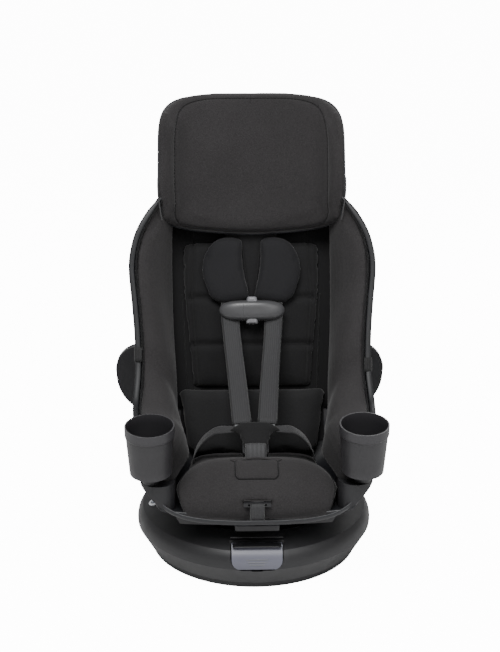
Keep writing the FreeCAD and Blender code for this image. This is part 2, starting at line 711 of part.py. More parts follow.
def build_pod(outer):
    centre = dim("rock_z")
    ball = Part.makeSphere(dim("pod_rho"), Vector(0, 0, centre))
    side = side_prism([(-212, 149.5), (-212, 60), (178, 30), (178, 158), (114, 176), (97.8, 129.5), (92.6, 111.2),
                       (60.2, 96.5), (0, 87.5), (-60.2, 96.5), (-110.2, 119.5)], 200)
    ledge = side_prism([(-212, 149.5), (-212, 131), (-150, 105), (-120, 110), (-110.2, 119.5)], 140)
    ledge = ledge.common(Part.makeCylinder(dim("ledge_r"), 400))
    shape = side.common(ball).fuse(ledge).common(front_prism(shell_low_outline(0), -400, 500))
    slot = rock_drum(400, dim("slot_half_w")).cut(rock_drum(dim("slot_rho"), dim("slot_half_w") + 2))
    shape = shape.cut(slot.common(block(-200, 200, -119, 200, 0, 176)))
    keep(feature("seat_pod", largest(shape).cut(outer)), "seat_pod")
    runner_in, flange_out = dim("runner_in"), dim("flange_out")
    web = rock_band(dim("runner_top"), flange_out, runner_in, dim("runner_web"), -20, 40)
    flange = rock_band(dim("flange_in"), flange_out, runner_in, dim("runner_out"), -20, 40)
    runner = web.fuse(flange).removeSplitter()
    keep(feature("recline_runners", Part.makeCompound([runner, flip(runner)])), "recline_runners")
    rack_half, rack_out = dim("rack_half_w"), dim("rack_out")
    rack = rock_band(dim("runner_top"), rack_out, -rack_half, rack_half, -16, 38)
    for i in range(9):
        angle = -10 + 5 * i
        rack = rack.cut(rock_band(rack_out - 5, rack_out + 5, -20, 20, angle - 1.7, angle + 1.7))
    keep(feature("recline_rack", rack), "recline_rack")
    build_back_cover()


def build_back_cover():
    """The fabric cover's hard panel on the rear of the back, hollow towards the shell."""
    corners = [("-112", "40"), ("112", "40"), ("112", "486"), ("-112", "486")]
    cover = padded("back_cover_blank", "XZ_Plane", corners, "40")
    rounded(cover, 18, lambda e: along(Y)(e) or abs(e.CenterOfMass.y + 20) < 0.1)
    cover.Placement = BACK.multiply(Placement(Vector(0, dim("shell_back") + GAP + 20, 0), Rotation()))
    floor_y = 36.7
    hollow = block(-108.5, 108.5, -1, floor_y, 43.5, 482.5)
    hollow = hollow.makeFillet(14, [e for e in hollow.Edges
                                    if along(Y)(e) or abs(e.CenterOfMass.y - floor_y) < 0.1])
    hollow.translate(Vector(0, dim("shell_back") + GAP, 0))
    top = block(-64, 64, -1, 24, 470, 500)
    top.translate(Vector(0, dim("shell_back") + GAP, 0))
    tool = feature("back_cover_hollow", hollow.fuse(top), BACK)
    cut = doc.addObject("Part::Cut", "back_cover")
    cut.Base, cut.Tool = cover, tool
    keep(cut, "back_cover")


# ---------------------------------------------------------------- cushions and cover
def build_cushions():
    t = dim("back_cover_t")
    liner = back_prism([(-139, 8), (139, 8), (139, 440), ("arc", (110, 492), (60, 506)), (-60, 506),
                        ("arc", (-110, 492), (-139, 440))], GAP, t)
    keep(feature("back_liner", liner.cut(stem_slot(2))), "back_liner")
    pad = back_prism([(-104, 114), (104, 114), (135, 312), ("arc", (134, 356), (126, 396)), (-126, 396),
                      ("arc", (-134, 356), (-135, 312))], t + GAP, dim("back_pad_t"))
    keep(feature("back_pad", pad), "back_pad")
    hip = back_prism([(-112, -10), (112, -10), (137, 110), ("arc", (0, 112), (-137, 110))], t + GAP, 52)
    keep(feature("hip_pad", hip.cut(block(-200, 200, -100, 200, 0, 128))), "hip_pad")
    seat = padded("cushion_blank", "YZ_Plane",
                  [("-228", "141"), ("-216", "141"), ("-216", "156"), ("-105", "133"), ("-40", "126"),
                   ("36", "126"), ("30", "158"), ("0", "163"), ("-60", "180"), ("-110", "203"),
                   ("-140", "218"), ("-165", "224"), ("-196", "214"), ("-219", "190"), ("-228", "166")],
                  "2 * dims.cushion_half_w")
    plan = level_prism(mirrored([(0, -230), (88, -230), ("arc", (124, -217), (139, -180)), (139, 60), (0, 60)]),
                       100, 240)
    pocket = block(-36, 36, -203, -152, 200, 240).fuse(block(-21.5, 21.5, -146, -141, 100, 240))
    pocket = pocket.fuse(block(-21.5, 21.5, -146, -122, 208, 240))
    pocket = pocket.fuse(block(-150, 150, -240, 50, 100, 240).cut(plan))
    pocket = pocket.fuse(block(-24, 24, -232, -222, 172, 181))
    tool = feature("cushion_pocket", pocket)
    cut = doc.addObject("Part::Cut", "seat_cushion")
    cut.Base, cut.Tool = seat, tool
    keep(cut, "seat_cushion")
    strap = block(-13.5, 13.5, -231, -229, 137, 172.6)
    keep(feature("adjuster_strap", strap), "adjuster_strap")
    bezel = block(-23, 23, -229.5, -223, 173, 180).cut(block(-16, 16, -240, -200, 174.8, 178.2))
    keep(feature("adjuster_bezel", bezel), "adjuster_bezel")


# ---------------------------------------------------------------- harness
BUCKLE = Placement(Vector(0, dim("buckle_y"), dim("buckle_z")), Rotation(X, dim("buckle_angle")))


def buckle_block(x0, x1, w0, w1, m0, m1):
    """A block in the buckle's frame: w runs up the buckle and m stands off its face."""
    shape = block(x0, x1, w0, w1, m0, m1)
    shape.Placement = BUCKLE.multiply(shape.Placement)
    return shape


def build_harness():
    strap = ribbon([Vector(0, -143.5, 132), Vector(0, -143.5, 212), BUCKLE.multVec(Vector(0, -3, 0))],
                   [X, X, X], [Y, Y, BUCKLE.Rotation.multVec(Z)], 38, 2)
    keep(feature("crotch_strap", strap), "crotch_strap")
    body = block(-23, 23, -1.5, 56, -9, 9)
    body = body.makeFillet(6, [e for e in body.Edges if along(Z)(e)])
    body = body.cut(block(-14, 14, 6, 30, 4, 12)).cut(block(-15, 15, 40, 60, -3, 3))
    body.Placement = BUCKLE.multiply(body.Placement)
    keep(feature("buckle_housing", body), "buckle_housing")
    keep(feature("buckle_button", buckle_block(-13.4, 13.4, 6.6, 29.4, 6.5, 11)), "buckle_button")
    cover = level_prism([(-19, -6), (19, -6), (26, 28), (32, 60), (-32, 60), (-26, 28)], 12.5, 18)
    cover.Placement = BUCKLE.multiply(cover.Placement)
    keep(feature("buckle_cover", cover), "buckle_cover")
    tongues, laps = [], []
    for side, sign in (("left", 1), ("right", -1)):
        tongue = buckle_block(1, 12, 42, 62, -2, 2).fuse(buckle_block(1, 36, 62, 70, -2, 2))
        tongue = tongue.removeSplitter()
        tongues.append(tongue if sign > 0 else flip(tongue))
        up = [on_back(35, 300, 57), on_back(35, 232, 57.5), BUCKLE.multVec(Vector(21, 74, 2))]
        band = ribbon(up, [X, X, X], [FORWARD_BACK, FORWARD_BACK, BUCKLE.Rotation.multVec(Z)], dim("strap_w"),
                      dim("strap_t"))
        keep(feature(f"shoulder_strap_{side}", band if sign > 0 else flip(band)), f"shoulder_strap_{side}")
        route = [BUCKLE.multVec(Vector(42, 68, 0)), Vector(66, -58, 244), Vector(88, -42, 224),
                 Vector(106, -20, 190)]
        wide = [Vector(0, 0.9, 0.45), Vector(-0.1, 0.9, 0.4), Vector(-0.15, 0.85, 0.45),
                Vector(-0.2, 0.8, 0.5)]
        runs = [route[1] - route[0], route[2] - route[0], route[3] - route[1], route[3] - route[2]]
        band = ribbon(route, wide, [w.cross(run) for w, run in zip(wide, runs)], 26, dim("strap_t"))
        laps.append(band if sign > 0 else flip(band))
        pad = back_prism([(8, 392), ("arc", (60, 396), (84, 370)), ("arc", (100, 330), (84, 290)),
                          ("arc", (64, 271), (36, 272)), (12, 280), (5, 300), (5, 330)], 38, 54)
        keep(feature(f"harness_cover_{side}", pad if sign > 0 else flip(pad)), f"harness_cover_{side}")
    keep(feature("buckle_tongues", Part.makeCompound(tongues)), "buckle_tongues")
    keep(feature("lap_straps", Part.makeCompound(laps)), "lap_straps")
    clip = back_prism([(-56, 257), ("arc", (-54, 244), (-44, 240)), (44, 240),
                       ("arc", (54, 244), (56, 257)), ("arc", (54, 270), (44, 274)), (-44, 274),
                       ("arc", (-54, 270), (-56, 257))], 59.5, 74)
    split = back_prism([(-200, 200), (-17, 200), (-17, 320), (-200, 320)], 40, 90)
    grips = [back_prism([(-11, low), (11, low), (11, high), (-11, high)], 62, 72)
             for low, high in ((268.3, 279), (235, 245.7))]
    seat = back_prism([(-11.4, 265), (11.4, 265), (11.4, 300), (-11.4, 300)], 61.5, 72.5)
    seat = seat.fuse(back_prism([(-11.4, 200), (11.4, 200), (11.4, 249), (-11.4, 249)], 61.5, 72.5))
    keep(feature("chest_clip_tongue", clip.common(split)), "chest_clip_tongue")
    keep(feature("chest_clip_body", clip.cut(split).cut(seat)), "chest_clip_body")
    keep(feature("chest_clip_button_top", grips[0]), "chest_clip_button_top")
    keep(feature("chest_clip_button_bottom", grips[1]), "chest_clip_button_bottom")


# ---------------------------------------------------------------- headrest
def head_outline(inset):
    """The headrest seen square on, in the back frame."""
    k = inset
    top, low, half = dim("head_top"), dim("head_bottom"), dim("head_half_w")
    right = [(0, top - k), (76, top - k), ("arc", (147 - 0.7 * k, top - 29 - 0.7 * k), (half - k, top - 100)),
             (half - k, 470), (170 - k, 436 + 0.5 * k), ("arc", (162 - k, 418 + k), (138, 410 + k)), (70, low + k),
             (0, low + k)]
    return mirrored(right)


def build_headrest():
    back, t = dim("head_back"), dim("head_shell_t")
    outer = [(0, back), (108, back), (148, 57), (168, 84), (176, 122), ("arc", (170, 131), (156, 126)),
             (136, 98), ("arc", (118, 84), (96, 80)), (0, 76)]
    body = across_prism(mirrored(outer), 380, 700).common(back_prism(head_outline(0), 0, 200))
    split_line = [(0, 0), (112, 0), (200, 30), (200, 118), (177, 118), (171.5, 118), (164, 86), (146, 61.5),
                  (107, back + t), (0, back + t)]
    hard = across_prism(mirrored(split_line), 370, 710)
    shell = body.common(hard)
    soft_line = [(0, back + t + GAP), (107, back + t + GAP), (145.8, 61.9), (163.6, 86.3), (171.1, 118.4),
                 (200, 118.4), (200, 200), (0, 200)]
    soft = body.common(across_prism(mirrored(soft_line), 370, 710))
    keep(feature("headrest_shell", shell), "headrest_shell")
    keep(feature("headrest_pad", soft), "headrest_pad")
    neck = block(-25, 25, -back + 0.2, 9, 562, 606).fuse(block(-58, 58, 9, 17, 330, 606))
    keep(feature("headrest_stem", neck, BACK), "headrest_stem")
    lever = padded("headrest_lever", "XY_Plane", [("-34", "-9"), ("34", "-9"), ("34", "9"), ("-34", "9")], "26")
    rounded(lever, 6, along(Z))
    lever.Placement = BACK.multiply(Placement(Vector(0, 12 - dim("head_back"), 645), Rotation()))
    keep(lever, "headrest_lever")


# ---------------------------------------------------------------- cups, levers
def build_cups():
    stands = []
    for side, sign in (("left", 1), ("right", -1)):
        place = Placement(Vector(sign * dim("cup_x"), dim("cup_y"), dim("cup_z")), Rotation(X, dim("cup_tilt")))
        cup = turned(f"cup_holder_{side}",
                     [("0", "0 - dims.cup_h"), ("dims.cup_foot_r", "0 - dims.cup_h"), ("dims.cup_r - 1.5", "-18"),
                      ("dims.cup_r", "-16"), ("dims.cup_r", "0"), ("dims.cup_r - dims.cup_wall", "0"),
                      ("dims.cup_foot_r - dims.cup_wall", "0 - dims.cup_h + dims.cup_wall"),
                      ("0", "0 - dims.cup_h + dims.cup_wall")])
        cup.Placement = place
        keep(cup, f"cup_holder_{side}")
        stand = Part.makeCone(14, 20, 26, Vector(0, 0, -dim("cup_h") - 26.4))
        stand.Placement = place.multiply(stand.Placement)
        arm = level_prism([(140, -150), (140, -195), ("arc", (160, -217), (184, -214)),
                           ("arc", (197, -200), (196, -172)), (186, -150)], 120, 206)
        arm = arm.common(front_prism([(110, 112), (199, 203), (199, 206), (110, 206)], -400, 0))
        stand = stand.fuse(arm if sign > 0 else flip(arm)).removeSplitter()
        for name in ("seat_shell", f"bolster_{side}", "impact_foam", "seat_cushion"):
            stand = stand.cut(PIECES[name].Shape)
        stands.append(largest(stand))
    keep(feature("cup_brackets", Part.makeCompound(stands)), "cup_brackets")
    corners = [("-38", "-226"), ("38", "-226"), ("38", "-213"), ("-38", "-213")]
    lever = padded("swivel_lever", "XY_Plane", corners, "9")
    rounded(lever, 5, along(Z))
    lever.Placement.Base = Vector(0, 0, 131)
    keep(lever, "swivel_lever")


def check_and_export():
    doc.recompute()
    bad = [o.Label for o in doc.Objects if "Invalid" in o.State or "Error" in o.State]
    if bad:
        raise RuntimeError(f"failed objects: {bad}")
    os.makedirs("parts", exist_ok=True)
    for name in os.listdir("parts"):
        os.remove(os.path.join("parts", name))
    for label, obj in PIECES.items():
        shape = obj.Shape
        if shape.isNull() or not shape.isValid() or not shape.Solids:
            raise RuntimeError(f"{label}: no valid solid")
        shape.exportStep(f"parts/{label}.step")


def main():
    build_base()
    build_recline_control()
    build_turntable()
    outer = build_shell()
    build_pod(outer)
    build_cushions()
    build_harness()
    build_headrest()
    build_cups()
    check_and_export()
    print(len(PIECES), "sub-parts")


main()
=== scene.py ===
import json
import math

import bmesh
import bpy
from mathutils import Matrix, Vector
from mathutils.bvhtree import BVHTree
from mathutils.kdtree import KDTree


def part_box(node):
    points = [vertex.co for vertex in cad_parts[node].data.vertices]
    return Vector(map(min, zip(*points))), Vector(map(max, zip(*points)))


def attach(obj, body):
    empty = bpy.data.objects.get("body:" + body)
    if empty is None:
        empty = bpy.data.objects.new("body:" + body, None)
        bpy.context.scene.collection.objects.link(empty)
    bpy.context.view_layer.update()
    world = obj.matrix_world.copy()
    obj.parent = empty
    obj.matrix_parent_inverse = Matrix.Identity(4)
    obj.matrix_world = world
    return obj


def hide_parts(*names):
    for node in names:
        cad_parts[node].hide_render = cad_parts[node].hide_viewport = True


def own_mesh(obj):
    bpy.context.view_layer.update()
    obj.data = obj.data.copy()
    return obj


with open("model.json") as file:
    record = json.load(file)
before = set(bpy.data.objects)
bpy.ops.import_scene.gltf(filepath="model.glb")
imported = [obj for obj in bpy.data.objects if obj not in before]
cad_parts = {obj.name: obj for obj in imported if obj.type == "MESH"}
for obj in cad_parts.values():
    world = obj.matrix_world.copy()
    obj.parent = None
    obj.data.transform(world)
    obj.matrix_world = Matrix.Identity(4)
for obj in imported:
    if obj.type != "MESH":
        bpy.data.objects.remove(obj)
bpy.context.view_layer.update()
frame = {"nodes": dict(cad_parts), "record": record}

# ------------------------------------------------------------------ places, in millimetres
MM = 0.001
LEAN = math.radians(21)
BIGHT_Y, BIGHT_Z = 95, 150
LEAN_SIN, LEAN_COS = math.sin(LEAN), math.cos(LEAN)
UP_BACK = Vector((0, LEAN_SIN, LEAN_COS))
FORWARD_BACK = Vector((0, -LEAN_COS, LEAN_SIN))
DOWN, FRONT, ACROSS = Vector((0, 0, -1)), Vector((0, -1, 0)), Vector((1, 0, 0))


def at(x, y, z):
    """A point of the shared frame, from millimetres."""
    return Vector((x, y, z)) * MM


def back(x, height, depth):
    """A point by its height up the back and its distance in front of the back plane."""
    y = BIGHT_Y + height * LEAN_SIN - depth * LEAN_COS
    z = BIGHT_Z + height * LEAN_COS + depth * LEAN_SIN
    return at(x, y, z)


def to_back(point):
    """(x, height, depth) of a point, in millimetres."""
    x, y, z = point.x / MM, point.y / MM - BIGHT_Y, point.z / MM - BIGHT_Z
    return x, y * LEAN_SIN + z * LEAN_COS, z * LEAN_SIN - y * LEAN_COS


def smooth_step(low, high, value):
    t = min(max((value - low) / (high - low), 0.0), 1.0)
    return t * t * (3 - 2 * t)


def catmull(points, count):
    """A smooth run of count points through a list of tuples of numbers."""
    result, spans = [], len(points) - 1
    for i in range(count):
        t = i * spans / (count - 1)
        k = min(int(t), spans - 1)
        f = t - k
        p0, p1 = points[max(k - 1, 0)], points[k]
        p2, p3 = points[k + 1], points[min(k + 2, spans)]
        result.append(tuple(0.5 * (2 * b + (c - a) * f + (2 * a - 5 * b + 4 * c - d) * f * f
                                   + (3 * b - a - 3 * c + d) * f ** 3)
                            for a, b, c, d in zip(p0, p1, p2, p3)))
    return result


def round_corners(corners, steps=10):
    """A closed outline through (a, b, radius) corners, each rounded from a radius before to a radius after."""
    points, count = [], len(corners)
    for i in range(count):
        a, b, r = corners[i]
        here = Vector((a, b))
        before = Vector(corners[i - 1][:2]) - here
        after = Vector(corners[(i + 1) % count][:2]) - here
        start = here + before.normalized() * min(r, before.length * 0.49)
        stop = here + after.normalized() * min(r, after.length * 0.49)
        for k in range(steps + 1):
            t = k / steps
            points.append(start * (1 - t) ** 2 + here * 2 * t * (1 - t) + stop * t * t)
    return points


def mirrored(corners):
    """Closes a right-hand list of corners, from the middle line to the middle line, with its mirror image."""
    left = [(-a, b, r) for a, b, r in reversed(corners) if abs(a) > 1e-6]
    return list(corners) + left


def smooth_path(stations, count):
    """count points on a smooth curve through a list of points."""
    return [Vector(p) for p in catmull([tuple(p) for p in stations], count)]


def tangents(path):
    """The direction of a path at each of its points."""
    last = len(path) - 1
    return [(path[min(i + 1, last)] - path[max(i - 1, 0)]).normalized() for i in range(last + 1)]


def square_to(direction, tangent):
    """The part of a direction that is square to a tangent, as a unit vector."""
    return (direction - tangent * direction.dot(tangent)).normalized()


def signed_power(value, power):
    """A power of a number's size that keeps its sign."""
    return math.copysign(abs(value) ** power, value)


def resample(points, count, closed=True):
    """Evenly spaced points along a polyline."""
    points = list(points) + ([points[0]] if closed else [])
    lengths = [0.0]
    for p, q in zip(points, points[1:]):
        lengths.append(lengths[-1] + (q - p).length)
    result, k = [], 0
    for i in range(count):
        s = lengths[-1] * i / (count if closed else count - 1)
        while k < len(points) - 2 and lengths[k + 1] < s:
            k += 1
        span = max(lengths[k + 1] - lengths[k], 1e-9)
        result.append(points[k].lerp(points[k + 1], (s - lengths[k]) / span))
    return result


# ------------------------------------------------------------------ materials
def srgb(value):
    """Linear light from an 8-bit display value."""
    c = value / 255
    return c / 12.92 if c <= 0.04045 else ((c + 0.055) / 1.055) ** 2.4


DEEPEN = 0.52  # what a tone seen in the studio's light is multiplied by


def grey(value):
    return (value, value, value, 1)


def light(r, g, b):
    return (srgb(r), srgb(g), srgb(b), 1.0)


def colour(r, g, b):
    """A dark tone as it looks, deepened to what it is under the studio's light."""
    return tuple(DEEPEN * c for c in light(r, g, b)[:3]) + (1.0,)


class Nodes:
    """A small helper that adds and links shader nodes."""

    def __init__(self, name):
        self.material = bpy.data.materials.new(name)
        self.material.use_nodes = True
        self.tree = self.material.node_tree
        self.shader = self.tree.nodes["Principled BSDF"]
        self.place = self.add("ShaderNodeTexCoord").outputs["Object"]

    def add(self, kind, **values):
        node = self.tree.nodes.new(kind)
        for key, value in values.items():
            if hasattr(node, key):
                setattr(node, key, value)
            else:
                node.inputs[key.replace("_", " ").capitalize() if key.islower() else key].default_value = value
        return node

    def link(self, source, target):
        self.tree.links.new(source, target)

    def feed(self, value, socket):
        """Links an output to a socket, or sets a constant on it."""
        if isinstance(value, bpy.types.NodeSocket):
            self.link(value, socket)
        else:
            socket.default_value = value

    def finish(self, **values):
        """Feeds the shader's own sockets, named with _ for a space."""
        for key, value in values.items():
            self.feed(value, self.shader.inputs[key.replace("_", " ")])

    def noise(self, scale, detail=2.0, stretch=None):
        node = self.add("ShaderNodeTexNoise", scale=scale, detail=detail)
        place = self.place
        if stretch:
            mapping = self.add("ShaderNodeMapping")
            mapping.inputs["Scale"].default_value = stretch
            self.link(place, mapping.inputs["Vector"])
            place = mapping.outputs["Vector"]
        self.link(place, node.inputs["Vector"])
        return node.outputs["Fac"]

    def ramp(self, source, stops):
        node = self.add("ShaderNodeValToRGB")
        ramp = node.color_ramp
        while len(ramp.elements) < len(stops):
            ramp.elements.new(0.5)
        for element, (position, tint) in zip(ramp.elements, stops):
            element.position, element.color = position, tint
        self.link(source, node.inputs["Fac"])
        return node.outputs["Color"]

    def mix(self, factor, first, second, kind="MIX"):
        node = self.add("ShaderNodeMix", data_type="RGBA", blend_type=kind)
        for value, socket in ((factor, node.inputs[0]), (first, node.inputs[6]), (second, node.inputs[7])):
            self.feed(value, socket)
        return node.outputs[2]

    def math(self, kind, first, second):
        node = self.add("ShaderNodeMath", operation=kind)
        for value, socket in ((first, node.inputs[0]), (second, node.inputs[1])):
            self.feed(value, socket)
        return node.outputs[0]

    def bump(self, height, strength, distance):
        node = self.add("ShaderNodeBump", strength=strength, distance=distance)
        self.link(height, node.inputs["Height"])
        self.finish(Normal=node.outputs["Normal"])


def scaled(tint, factor):
    return tuple(c * factor for c in tint[:3]) + (1.0,)


def fabric(name, tint, melange=0.35, rough=0.92, sheen=0.12, knit=900.0, with_painted_shade=False):
    """Knitted cover cloth: fine heathered yarn, a knit relief and slow changes of tone.
    A cloth with painted shade is darkened by its mesh's painted_shade attribute."""
    n = Nodes(name)
    yarn = n.noise(knit * 1.4, 3.0, (1.0, 1.0, 0.45))
    fine = n.ramp(yarn, [(0.32, scaled(tint, 1 - melange)), (0.5, tint),
                         (0.7, scaled(tint, 1 + 1.3 * melange))])
    slow = n.ramp(n.noise(9.0, 2.0), [(0.3, grey(0.90)), (0.7, grey(1.08))])
    base = n.mix(1.0, fine, slow, "MULTIPLY")
    # painted shade: the cloth's colour is multiplied by the mesh's stored shade, dark in the bolster's inner
    # crease
    if with_painted_shade:
        base = n.mix(1.0, base, n.add("ShaderNodeAttribute", attribute_name="painted_shade").outputs["Fac"], "MULTIPLY")
    n.finish(Base_Color=base, Roughness=rough, Specular_IOR_Level=0.25, Sheen_Weight=sheen,
             Sheen_Roughness=0.45)
    cells = n.add("ShaderNodeTexVoronoi", scale=knit)
    n.link(n.place, cells.inputs["Vector"])
    relief = n.math("ADD", n.math("MULTIPLY", cells.outputs["Distance"], 0.7), n.noise(220.0, 3.0))
    n.bump(relief, 0.45, 0.0005)
    return n.material


def webbing(name, tint, ribs=9.0):
    """Woven webbing: ribs along the strap and a fine cross weave, laid out by the strap's own UV."""
    n = Nodes(name)
    split = n.add("ShaderNodeSeparateXYZ")
    n.link(n.add("ShaderNodeTexCoord").outputs["UV"], split.inputs["Vector"])
    across = n.math("SINE", n.math("MULTIPLY", split.outputs["X"], ribs * 2 * math.pi), 0.0)
    weft = n.math("SINE", n.math("MULTIPLY", split.outputs["Y"], 900.0 * 2 * math.pi), 0.0)
    weave = n.math("ADD", n.math("MULTIPLY", across, 0.7), n.math("MULTIPLY", weft, 0.3))
    tone = n.math("ADD", n.math("MULTIPLY", weave, 0.30), 0.5)
    base = n.ramp(tone, [(0.0, scaled(tint, 0.62)), (0.55, tint), (1.0, scaled(tint, 1.35))])
    speck = n.ramp(n.noise(700.0, 3.0), [(0.35, grey(0.82)), (0.65, grey(1.15))])
    n.finish(Base_Color=n.mix(1.0, base, speck, "MULTIPLY"), Roughness=0.62, Specular_IOR_Level=0.35,
             Sheen_Weight=0.15)
    n.bump(weave, 0.5, 0.0004)
    return n.material


def plastic(name, tint, rough=0.5, grain=0.35, gloss=0.5):
    """Moulded plastic: a fine spark-eroded grain, uneven gloss, painted highlight on sharp convex edges and
    painted shade in hollows.
    """
    n = Nodes(name)
    # painted highlight and shade: by pointiness, convex edges are paler and hollows a little darker
    edge_highlight_and_hollow_shade = n.ramp(n.add("ShaderNodeNewGeometry").outputs["Pointiness"],
                  [(0.47, scaled(tint, 0.86)), (0.5, tint), (0.58, scaled(tint, 1.5))])
    slow = n.ramp(n.noise(14.0, 4.0), [(0.3, grey(0.93)), (0.7, grey(1.06))])
    patch = n.math("ADD", n.math("MULTIPLY", n.noise(35.0, 3.0), 0.16), rough - 0.08)
    n.finish(Base_Color=n.mix(1.0, edge_highlight_and_hollow_shade, slow, "MULTIPLY"), Roughness=patch, Specular_IOR_Level=gloss)
    n.bump(n.noise(1500.0, 2.0), grain, 0.0002)
    return n.material


def steel(name, tint, rough=0.32):
    """Zinc-plated steel: drawn streaks in tone and gloss."""
    n = Nodes(name)
    streak = n.noise(60.0, 4.0, (1.0, 14.0, 14.0))
    n.finish(Base_Color=n.ramp(streak, [(0.3, scaled(tint, 0.85)), (0.7, scaled(tint, 1.1))]),
             Roughness=n.math("ADD", n.math("MULTIPLY", streak, 0.2), rough - 0.1), Metallic=1.0)
    n.bump(streak, 0.15, 0.0001)
    return n.material


def lens_material(name):
    """The level window: clear, slightly scuffed."""
    n = Nodes(name)
    n.finish(Roughness=n.math("ADD", n.math("MULTIPLY", n.noise(80.0), 0.06), 0.02),
             Base_Color=(0.93, 0.96, 1.0, 1), Transmission_Weight=0.92, IOR=1.45)
    return n.material


def seam_shadow_line(name, tint):
    """The shadowed line of a sewn seam, with its stitches as fine beads of tone."""
    n = Nodes(name)
    beads = n.ramp(n.noise(500.0, 1.0), [(0.4, scaled(tint, 0.6)), (0.6, scaled(tint, 1.3))])
    n.finish(Base_Color=beads, Roughness=0.9)
    n.bump(n.noise(900.0, 1.0), 0.4, 0.0003)
    return n.material


GREY_CLOTH = fabric("cloth_grey", colour(65, 63, 64))
# the bolster cloth carries painted shade, darker towards its inner crease
BOLSTER_CLOTH = fabric("cloth_bolster_painted_shade", colour(67, 65, 66), with_painted_shade=True)
PANEL_CLOTH = fabric("cloth_panel", colour(60, 58, 59), melange=0.42)
BLACK_CLOTH = fabric("cloth_black", colour(37, 37, 38), melange=0.25)
# painted light: the hip pad's black cloth, made lighter than BLACK_CLOTH to make up for the shadow it sits in
HIP_CLOTH_PAINTED_LIGHTER = fabric("cloth_hip_painted_lighter", colour(48, 48, 49), melange=0.25)
LINER_CLOTH = fabric("cloth_liner", colour(30, 30, 31), melange=0.2)
COVER_CLOTH = fabric("cloth_harness_cover", colour(37, 37, 40), melange=0.10, rough=0.8, knit=1500.0)
WEBBING = webbing("webbing_grey", colour(63, 63, 65))
BAND = webbing("webbing_buckle", colour(76, 76, 78), ribs=5.0)
# painted shade: the dark seam lines paint the shadow in each sewn seam, over its stitches
SEAM_SHADOW = seam_shadow_line("seam_shadow", colour(16, 16, 17))
PIPE_LIGHT = fabric("cloth_piping_light", colour(96, 95, 96), melange=0.1, knit=1800.0)
PIPING = fabric("cloth_piping", colour(30, 30, 31), melange=0.1, knit=1800.0)
RIM_LOOK = plastic("plastic_rim", colour(30, 31, 34), rough=0.55)
CLIP_LOOK = plastic("plastic_clip", colour(92, 92, 94), rough=0.36, grain=0.1)
TAB_LOOK = webbing("webbing_tab", colour(28, 28, 29), ribs=4.0)

SLOT_LOOKS = {
    "base_plastic": plastic("plastic_base", colour(51, 51, 53), rough=0.46),
    "dark_plastic": plastic("plastic_dark", colour(34, 34, 37), rough=0.5),
    "shell_plastic": plastic("plastic_shell", colour(38, 39, 43), rough=0.42),
    "cup_plastic": plastic("plastic_cup", colour(58, 57, 60), rough=0.44),
    "handle_plastic": plastic("plastic_handle", colour(114, 115, 127), rough=0.4, grain=0.15),
    "grey_plastic": plastic("plastic_grey", colour(120, 122, 126), rough=0.4),
    "silver_plastic": plastic("plastic_silver", light(112, 112, 115), rough=0.3, grain=0.05),
    "white_plastic": plastic("plastic_white", light(200, 202, 206), rough=0.3, grain=0.05),
    "blue_plastic": plastic("plastic_blue", light(48, 108, 176), rough=0.15, grain=0.02),
    "clear": lens_material("clear_window"),
    "rubber": plastic("rubber_black", colour(24, 24, 25), rough=0.85, grain=0.5, gloss=0.2),
    "steel": steel("steel_zinc", (0.45, 0.46, 0.48, 1)),
    "chrome": steel("steel_plated", (0.62, 0.63, 0.65, 1), rough=0.18),
    "foam": plastic("foam_beads", colour(37, 37, 40), rough=0.9, grain=0.9, gloss=0.2),
    "grey_fabric": GREY_CLOTH,
    "black_fabric": BLACK_CLOTH,
    "webbing": WEBBING,
}


def dress_frame():
    """Every carried-over CAD node gets the look of its material slot."""
    slots = {s["node"]: s["material_slot"] for s in frame["record"]["subparts"]}
    for name, node in frame["nodes"].items():
        node.data.materials.clear()
        node.data.materials.append(SLOT_LOOKS[slots[name]])


# ------------------------------------------------------------------ mesh building
def placed(name, data):
    """A new object in the scene."""
    obj = bpy.data.objects.new(name, data)
    bpy.context.scene.collection.objects.link(obj)
    return obj


def smooth_mesh(mesh, look):
    """Shades a mesh smooth and gives it its one material."""
    mesh.polygons.foreach_set("use_smooth", [True] * len(mesh.polygons))
    mesh.materials.clear()
    mesh.materials.append(look)


def piece(name, vertices, faces, look, body, uvs=None):
    """A mesh object that rides on a body, with the look it is given."""
    mesh = bpy.data.meshes.new(name)
    mesh.from_pydata([tuple(v) for v in vertices], [], faces)
    if uvs:
        layer = mesh.uv_layers.new(name="strap")
        for loop in mesh.loops:
            layer.data[loop.index].uv = uvs[loop.vertex_index]
    mesh.validate()
    smooth_mesh(mesh, look)
    obj = placed(name, mesh)
    rework(mesh, lambda work: bmesh.ops.remove_doubles(work, verts=work.verts, dist=1e-6))
    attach(obj, body)
    return obj


def rework(mesh, change):
    """Makes a change to a mesh, and turns all its faces outwards."""
    work = bmesh.new()
    work.from_mesh(mesh)
    change(work)
    bmesh.ops.recalc_face_normals(work, faces=work.faces)
    work.to_mesh(mesh)
    work.free()


def apply_modifiers(obj):
    """Replaces the mesh by what its modifiers give."""
    look = obj.data.materials[0]
    graph = bpy.context.evaluated_depsgraph_get()
    obj_mesh = bpy.data.meshes.new_from_object(obj.evaluated_get(graph))
    obj.modifiers.clear()
    obj.data = obj_mesh
    smooth_mesh(obj_mesh, look)


def grid_faces(rows, columns, wrap=False):
    faces, span = [], columns if wrap else columns - 1
    for i in range(rows - 1):
        for k in range(span):
            a, b = i * columns + k, i * columns + (k + 1) % columns
            faces.append((a, b, b + columns, a + columns))
    return faces


def loft(name, rings, look, body):
    """A closed skin through equal rings of points, capped at both ends."""
    count = len(rings[0])
    vertices = [p for ring in rings for p in ring]
    faces = grid_faces(len(rings), count, wrap=True)
    faces.append(tuple(range(count)))
    faces.append(tuple(range(len(vertices) - count, len(vertices))))
    return piece(name, vertices, faces, look, body)


